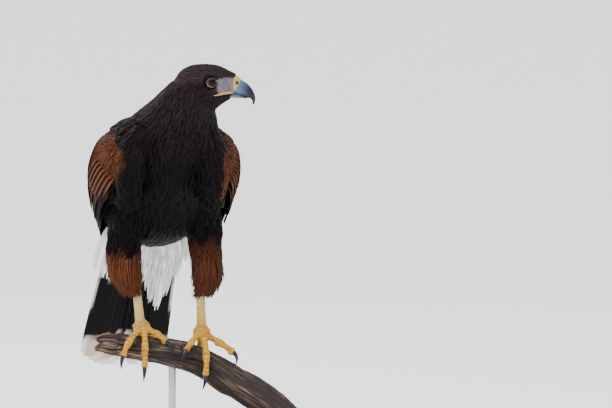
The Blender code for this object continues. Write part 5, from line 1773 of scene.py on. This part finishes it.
def make_scutes(side):
    """Plates down the front of the shank and along the top of each toe."""
    line = shank_line(side)
    front = np.tile(-BACK, (len(line), 1))
    grids = scute_grids(line, np.full(len(line), SHANK_HALF_WIDTH * 1.02), front, 1.25, 0.02, 0.98,
                        15, SHANK_HALF_DEPTH / SHANK_HALF_WIDTH)
    for digit in TOES[side]:
        path = toe_line(side, digit)
        away = unit(path - branch_axis(path))
        grids += scute_grids(path, toe_radii(), away, 1.15, 0.2, 0.98, 11)
    count = len(grids)
    chance = np.random.default_rng(41)
    marks = np.stack([np.zeros(count), np.zeros(count), np.zeros(count), chance.random(count)], 1)
    return vanes_mesh("scutes_" + side, grids, marks, patch_row(count, 0.5))


# %% Claws
CLAW_RADIUS = 2.8


def make_claw(side, digit):
    path = toe_line(side, digit)
    way = unit(path[-1] - path[-3])
    start = path[-1] - way * 1.2
    tip = np.array(CLAW_TIPS[side][digit], float)
    bow = start + way * np.linalg.norm(tip - start) * 0.6
    t = np.linspace(0, 1, 30)[:, None]
    line = start * (1 - t) ** 2 + bow * 2 * t * (1 - t) + tip * t ** 2
    radii = CLAW_RADIUS * (1 - 0.94 * t[:, 0] ** 1.15) * np.sqrt(np.clip(t[:, 0] * 9 + 0.55, 0, 1))
    claw = limb("claw_horn_%s_%d" % (side, digit), line, radii, 22)
    reach = np.linalg.norm(mesh_points(claw) - start, axis=1)
    store_value(claw, "Tip", smooth_step(0, 1, reach / reach.max()))
    return claw


# %% Leg materials
SHANK_PALE_FROM = 0.135
SHANK_PALE_TO = 0.160
LEG_CELLS = 620.0


def foot_material(name):
    """Yellow scaled skin: cream on the shank, stronger yellow and orange on the toes."""
    material, tree, shader = new_material(name, 0.5)
    height = axes_of(tree, object_place(tree))[2]
    blotch = noise(tree, 6.0)
    toes = ramp(tree, blotch, [(0.38, (0.54, 0.25, 0.005, 1)), (0.50, (0.54, 0.33, 0.030, 1)),
                               (0.60, (0.52, 0.15, 0.004, 1))])
    shank = ramp(tree, blotch, [(0.40, (0.52, 0.36, 0.09, 1)), (0.60, (0.55, 0.45, 0.25, 1))])
    level = map_range(tree, height, SHANK_PALE_FROM, SHANK_PALE_TO)
    skin_colour = blended(tree, level, toes, shank)
    seam = map_range(tree, cells(tree, LEG_CELLS, feature="DISTANCE_TO_EDGE"), 0.0, 0.12)
    paint(tree, shader, blended(tree, seam, (0.20, 0.105, 0.03, 1), skin_colour))
    bump(tree, shader, seam, 0.55, 0.0004)
    set_inputs(shader, Subsurface_Weight=0.06, Subsurface_Radius=SKIN_SCATTER,
               Specular_IOR_Level=0.3)
    return material, skin_colour


def scute_material():
    """Plates: the skin's colours without its cells, darker in the joints between plates."""
    material, skin_colour = foot_material("scute_plate")
    tree, shader = material.node_tree, shader_of(material)
    joint = map_range(tree, vane_axes(tree)[1], 0.1, 0.5)
    paint(tree, shader, blended(tree, joint, (0.22, 0.095, 0.018, 1), skin_colour))
    bump(tree, shader, noise(tree, 1.2), 0.25, 0.0003)
    return material


leg_skin = foot_material("leg_scale")[0]
scute_plate = scute_material()
claw_horn = horn_material("claw_horn", (0.010, 0.016, 0.028, 1), (0.006, 0.009, 0.015, 1),
                          (0.003, 0.004, 0.006, 1))
for side in TOES:
    dress(make_foot(side), leg_skin, ("shank_" + side, "foot_" + side))
    dress(make_scutes(side), scute_plate)
    for digit in TOES[side]:
        dress(make_claw(side, digit), claw_horn, ("claw_%s_%d" % (side, digit),))
print("feet made")

# %% [markdown]
# The branch
# A dead branch shows long twisted grain, deep furrows where the wood has dried and split, a torn
# end and a sawn one. The form is one finely rolled grid whose radius follows ridges that wind
# slowly along it. The grain's own coordinates are stored on the mesh, round it and along it, so
# that the colour runs with the wood and no seam shows.

# %% Branch
BRANCH_SPLINTER = 3.2
FURROWS = [
    # how many go round, how they wind along the branch, height in millimetres
    (3, 0.5, 0.60), (5, -0.9, 0.46), (9, 1.3, 0.42), (14, -1.1, 0.36), (23, 1.7, 0.28),
    (37, -2.3, 0.20), (53, 1.9, 0.12),
]
KNOTS = [
    # place along the branch, angle round it in degrees, radius, height
    (6.15, 25.0, 9.0, 1.6), (3.3, 60.0, 6.0, 1.0), (1.4, -20.0, 5.0, -0.9),
]
SEAM_CRACKS = [
    # angle round the branch in degrees, width, how it winds, depth
    (70.0, 0.10, 0.5, 2.0), (20.0, 0.07, -0.8, 1.6), (-35.0, 0.08, 0.9, 1.6),
    (130.0, 0.08, 0.4, 1.5), (45.0, 0.05, 0.3, 1.9), (-10.0, 0.05, -0.5, 1.8),
    (95.0, 0.06, -0.4, 2.0), (-60.0, 0.06, 0.6, 1.6),
]
BRANCH_ROWS = 290
BRANCH_COLUMNS = 260
# the grain's own measures in millimetres: radius round the wood, length of one place along it
GRAIN_ROUND = 15.0
GRAIN_ALONG = 30.0


def turn_from(angle, middle):
    """Angle from a middle, between -pi and pi."""
    return np.angle(np.exp(1j * (angle - middle)))


def branch_rings():
    """Rings of the branch, with the grain's own coordinates and the relief at each point."""
    place = np.linspace(0, len(BRANCH) - 1, BRANCH_ROWS)
    centre, radius = branch_line(BRANCH_ROWS)
    forward = unit(np.gradient(centre, axis=0))
    normal = np.stack([-forward[:, 2], 0 * forward[:, 0], forward[:, 0]], 1)
    place_grid, angle_grid = crossed(place, circle(BRANCH_COLUMNS))
    ring_x, ring_y = np.cos(angle_grid) * GRAIN_ROUND, np.sin(angle_grid) * GRAIN_ROUND
    relief = np.zeros_like(place_grid)
    for count, wind, height in FURROWS:
        drift = 0.5 * np.sin(place_grid * 1.7 + count) + 0.3 * np.sin(place_grid * 4.1 + 2 * count)
        wave = np.cos(count * angle_grid + wind * place_grid * 2 + drift * 2)
        relief += height * np.sign(wave) * np.abs(wave) ** 0.7
    for degrees, width, wind, depth in SEAM_CRACKS:
        path = math.radians(degrees) + wind * 0.12 * place_grid + 0.08 * np.sin(place_grid * 2.9)
        off = turn_from(angle_grid, path)
        strength = 0.5 + 0.5 * np.sin(place_grid * 1.3 + degrees)
        relief -= depth * strength * np.exp(-(off / width) ** 2)
    for spot, degrees, size, height in KNOTS:
        off = turn_from(angle_grid, math.radians(degrees)) * GRAIN_ROUND
        away = np.hypot((place_grid - spot) * GRAIN_ALONG, off)
        relief += height * np.exp(-(away / size) ** 2) * (1 + 0.35 * np.cos(away * 1.6))
    relief += 0.16 * ripple(np.stack([place_grid * 9, ring_x, ring_y], -1), 2.6, 8)
    reach = radius + relief - 0.5
    end = np.exp(-place_grid / 0.12)
    splinter = BRANCH_SPLINTER * end * (np.sin(4 * angle_grid + 0.6) + 0.5 * np.sin(
        11 * angle_grid) + 0.35 * np.sin(19 * angle_grid + 1))
    rings = (centre[:, None] + normal[:, None] * (reach * np.sin(angle_grid))[..., None]
             - BACK * (reach * np.cos(angle_grid))[..., None]
             + forward[:, None] * splinter[..., None])
    return rings, np.stack([ring_x, ring_y, place_grid * GRAIN_ALONG], -1), relief


def make_branch():
    rings, grain, relief = branch_rings()
    piece = rolled("branch", rings)
    tree = KDTree(relief.size)
    for i, point in enumerate(rings.reshape(-1, 3)):
        tree.insert(point, i)
    tree.balance()
    nearest = [tree.find(point)[1] for point in mesh_points(piece)]
    layer = piece.data.attributes.new("Grain", "FLOAT_VECTOR", "POINT")
    layer.data.foreach_set("vector", (grain.reshape(-1, 3)[nearest] * MM).astype(
        np.float32).ravel())
    store_value(piece, "Relief", np.clip(relief.ravel()[nearest] / 3.0 + 0.5, 0, 1))
    return piece


def bark_material():
    """Weathered wood: streaks along the grain, painted shade in the furrows and cracks, ridges in
    the wood's own colour, grey patches.
    """
    material, tree, shader = new_material("branch_wood", 0.82)
    grain = attribute(tree, "Grain", "Vector")
    drawn = stretched(tree, grain, (1.0, 1.0, 0.09))
    streaks = noise(tree, 1.6, 6.0, 0.65, drawn)
    broad = noise(tree, 9.0, 3.0, 0.5, drawn)
    wood = ramp(tree, streaks, [
        (0.40, (0.008, 0.005, 0.004, 1)), (0.47, (0.060, 0.034, 0.021, 1)),
        (0.55, (0.150, 0.088, 0.054, 1)), (0.67, (0.38, 0.29, 0.21, 1))])
    toned = blended(tree, map_range(tree, broad, 0.40, 0.64), (0.020, 0.012, 0.009, 1), wood)
    grey = map_range(tree, noise(tree, 26.0, 3.0, 0.6), 0.55, 0.70)
    aged = blended(tree, maths(tree, "MULTIPLY", grey, 0.55), toned, (0.27, 0.23, 0.20, 1))
    torn = map_range(tree, axes_of(tree, grain)[2], 0.045, 0.008, 0.0, 0.5)
    opened = blended(tree, torn, aged, (0.33, 0.20, 0.13, 1))
    # painted shade: the wood darkens where the stored relief is low, in furrows, cracks and the
    # sunk knot
    deep = map_range(tree, attribute(tree, "Relief"), 0.30, 0.60)
    paint(tree, shader, blended(tree, deep, (0.022, 0.014, 0.010, 1), opened))
    bump(tree, shader, streaks, 0.8, 0.0009)
    return material


dress(make_branch(), bark_material(), ("perch",))
print("branch made")

# %% [markdown]
# The display stand
# The museum stand is kept quiet: an oval plinth of oiled hardwood with a rounded edge, and two
# brushed steel rods that stand in small collars and end in the branch.

# %% Stand
BASE_SIZE = (256.0, 170.0, 12.0)
BASE_EDGE = 2.5
ROD_RADIUS = 4.0
ROD_PLACES = [-7.0, 86.0]
COLLAR_RADIUS = 8.0
COLLAR_HEIGHT = 5.0
ROD_SHORT_OF_MIDDLE = 9.0
ROD_EDGE = 0.8


def turned_part(name, size, middle, sides, edge, segments):
    """Round solid with a rounded edge; size, middle and edge are in millimetres."""
    bpy.ops.object.select_all(action="DESELECT")
    bpy.ops.mesh.primitive_cylinder_add(vertices=sides, radius=0.5, depth=1.0,
                                        end_fill_type="NGON", location=Vector(middle) * MM)
    made = bpy.context.object
    made.name = name
    made.scale = [value * MM for value in size]
    settle(made)
    rounding = made.modifiers.new("edge", "BEVEL")
    rounding.width = edge * MM
    rounding.segments = segments
    rounding.limit_method = "ANGLE"
    apply_all(made)
    bpy.ops.object.shade_smooth_by_angle(angle=math.radians(35))
    return made


def make_base():
    return turned_part("plinth", BASE_SIZE, (0, 0, BASE_SIZE[2] / 2), 160, BASE_EDGE, 5)


def make_rod(number, x):
    """Rod from the plinth up into the branch, with its collar."""
    middle = float(np.interp(x, [row[0] for row in BRANCH], [row[1] for row in BRANCH]))
    plinth_top = BASE_SIZE[2]
    pieces = []
    for name, radius, low, high in (
            ("rod", ROD_RADIUS, plinth_top - 1.0, middle - ROD_SHORT_OF_MIDDLE),
            ("collar", COLLAR_RADIUS, plinth_top - 0.5, plinth_top + COLLAR_HEIGHT)):
        pieces.append(turned_part(name, (2 * radius, 2 * radius, high - low),
                                  (x, 0, (high + low) / 2), 48, ROD_EDGE, 3))
    return joined("rod_%d" % number, pieces)


def plinth_material():
    """Oiled hardwood: long soft grain along X."""
    material, tree, shader = new_material("stand_wood", 0.42)
    drawn = stretched(tree, object_place(tree), (0.07, 1.0, 1.0))
    grain = noise(tree, 3.0, 6.0, 0.6, drawn)
    paint(tree, shader, ramp(tree, grain, [
        (0.35, (0.115, 0.062, 0.034, 1)), (0.5, (0.175, 0.100, 0.056, 1)),
        (0.68, (0.235, 0.145, 0.085, 1))]))
    bump(tree, shader, grain, 0.12, 0.0003)
    set_inputs(shader, Coat_Weight=0.2, Coat_Roughness=0.3)
    return material


def steel_material():
    """Brushed steel: fine marks round the rod in its roughness and bump."""
    material, tree, shader = new_material("stand_steel", 0.34, 1.0)
    paint(tree, shader, (0.55, 0.56, 0.57, 1))
    drawn = stretched(tree, object_place(tree), (0.05, 0.05, 1.0))
    brushed = noise(tree, 0.5, 3.0, 0.6, drawn)
    tree.links.new(map_range(tree, brushed, 0.0, 1.0, 0.26, 0.44), shader.inputs["Roughness"])
    bump(tree, shader, brushed, 0.08, 0.0001)
    return material


dress(make_base(), plinth_material(), ("stand_base",))
steel = steel_material()
for number, x in enumerate(ROD_PLACES, 1):
    dress(make_rod(number, x), steel, ("stand_rod_%d" % number,))
print("stand made")

# %% [markdown]
# Camera, floor and light
# The camera stands where the photograph was taken from, slightly to the bird's right and a little
# above it, with a long lens. A pale sweep makes floor and background, and three soft lamps light
# the dark plumage without hard shadows.

# %% Stage
CAMERA_PLACE = (-0.8634, -4.9142, 0.4410)
CAMERA_TARGET = (0.1328, -0.0175, 0.2665)
CAMERA_LENS = 280.1
SENSOR = 36.0
FLOOR_HALF = 12.0
SWEEP_START = 6.5
SWEEP_RADIUS = 7.0
SWEEP_SHARE = 0.7
WALL_WIDTH = 80.0
WALL_RISE = 12.0
WALL_DROP = 0.003
LAMP_TARGET = (0, 0, 0.25)
LAMPS = [
    # name, place, size, power
    ("key", (-1.5, -2.0, 2.4), 1.4, 100.0), ("fill", (2.4, -2.4, 1.0), 2.0, 10.0),
    ("rim", (-1.2, 1.9, 2.0), 1.2, 24.0),
]


def aimed(name, data, place, target):
    """New camera or lamp at a place, turned to a target, both in metres."""
    made = bpy.data.objects.new(name, data)
    bpy.context.scene.collection.objects.link(made)
    made.location = place
    way = Vector(target) - Vector(place)
    made.rotation_euler = way.to_track_quat("-Z", "Y").to_euler()
    return made


def make_camera():
    data = bpy.data.cameras.new("camera")
    data.lens = CAMERA_LENS
    data.sensor_width = SENSOR
    data.clip_end = 50
    bpy.context.scene.camera = aimed("camera", data, CAMERA_PLACE, CAMERA_TARGET)


def make_sweep():
    """Floor and a wall that rises out of it in a wide curve."""
    material, _, shader = new_material("floor_paper", 0.9)
    set_inputs(shader, Base_Color=(0.86, 0.86, 0.85, 1), Emission_Color=(1.0, 1.0, 1.0, 1),
               Emission_Strength=0.8)
    bpy.ops.mesh.primitive_plane_add(size=2 * FLOOR_HALF, location=(0, 0, 0))
    floor = bpy.context.object
    floor.name = "floor"
    floor.data.materials.append(material)
    bpy.ops.mesh.primitive_grid_add(x_subdivisions=2, y_subdivisions=48, size=1)
    wall = bpy.context.object
    wall.name = "wall"
    for vertex in wall.data.vertices:
        rise = vertex.co.y + 0.5
        angle = min(rise / SWEEP_SHARE, 1.0) * math.pi / 2
        beyond = max(rise - SWEEP_SHARE, 0.0) / (1 - SWEEP_SHARE) * WALL_RISE
        vertex.co = (vertex.co.x * WALL_WIDTH, SWEEP_START + SWEEP_RADIUS * math.sin(angle),
                     SWEEP_RADIUS * (1 - math.cos(angle)) + beyond - WALL_DROP)
    wall.data.materials.append(material)
    bpy.ops.object.shade_smooth()


def make_light():
    for name, place, size, power in LAMPS:
        data = bpy.data.lights.new(name, "AREA")
        data.shape = "DISK"
        data.size = size
        data.energy = power
        aimed(name, data, place, LAMP_TARGET)
    world = bpy.data.worlds.new("world")
    bpy.context.scene.world = world
    world.use_nodes = True
    set_inputs(world.node_tree.nodes["Background"], Color=(0.92, 0.95, 1.0, 1), Strength=0.95)


make_camera()
make_sweep()
make_light()
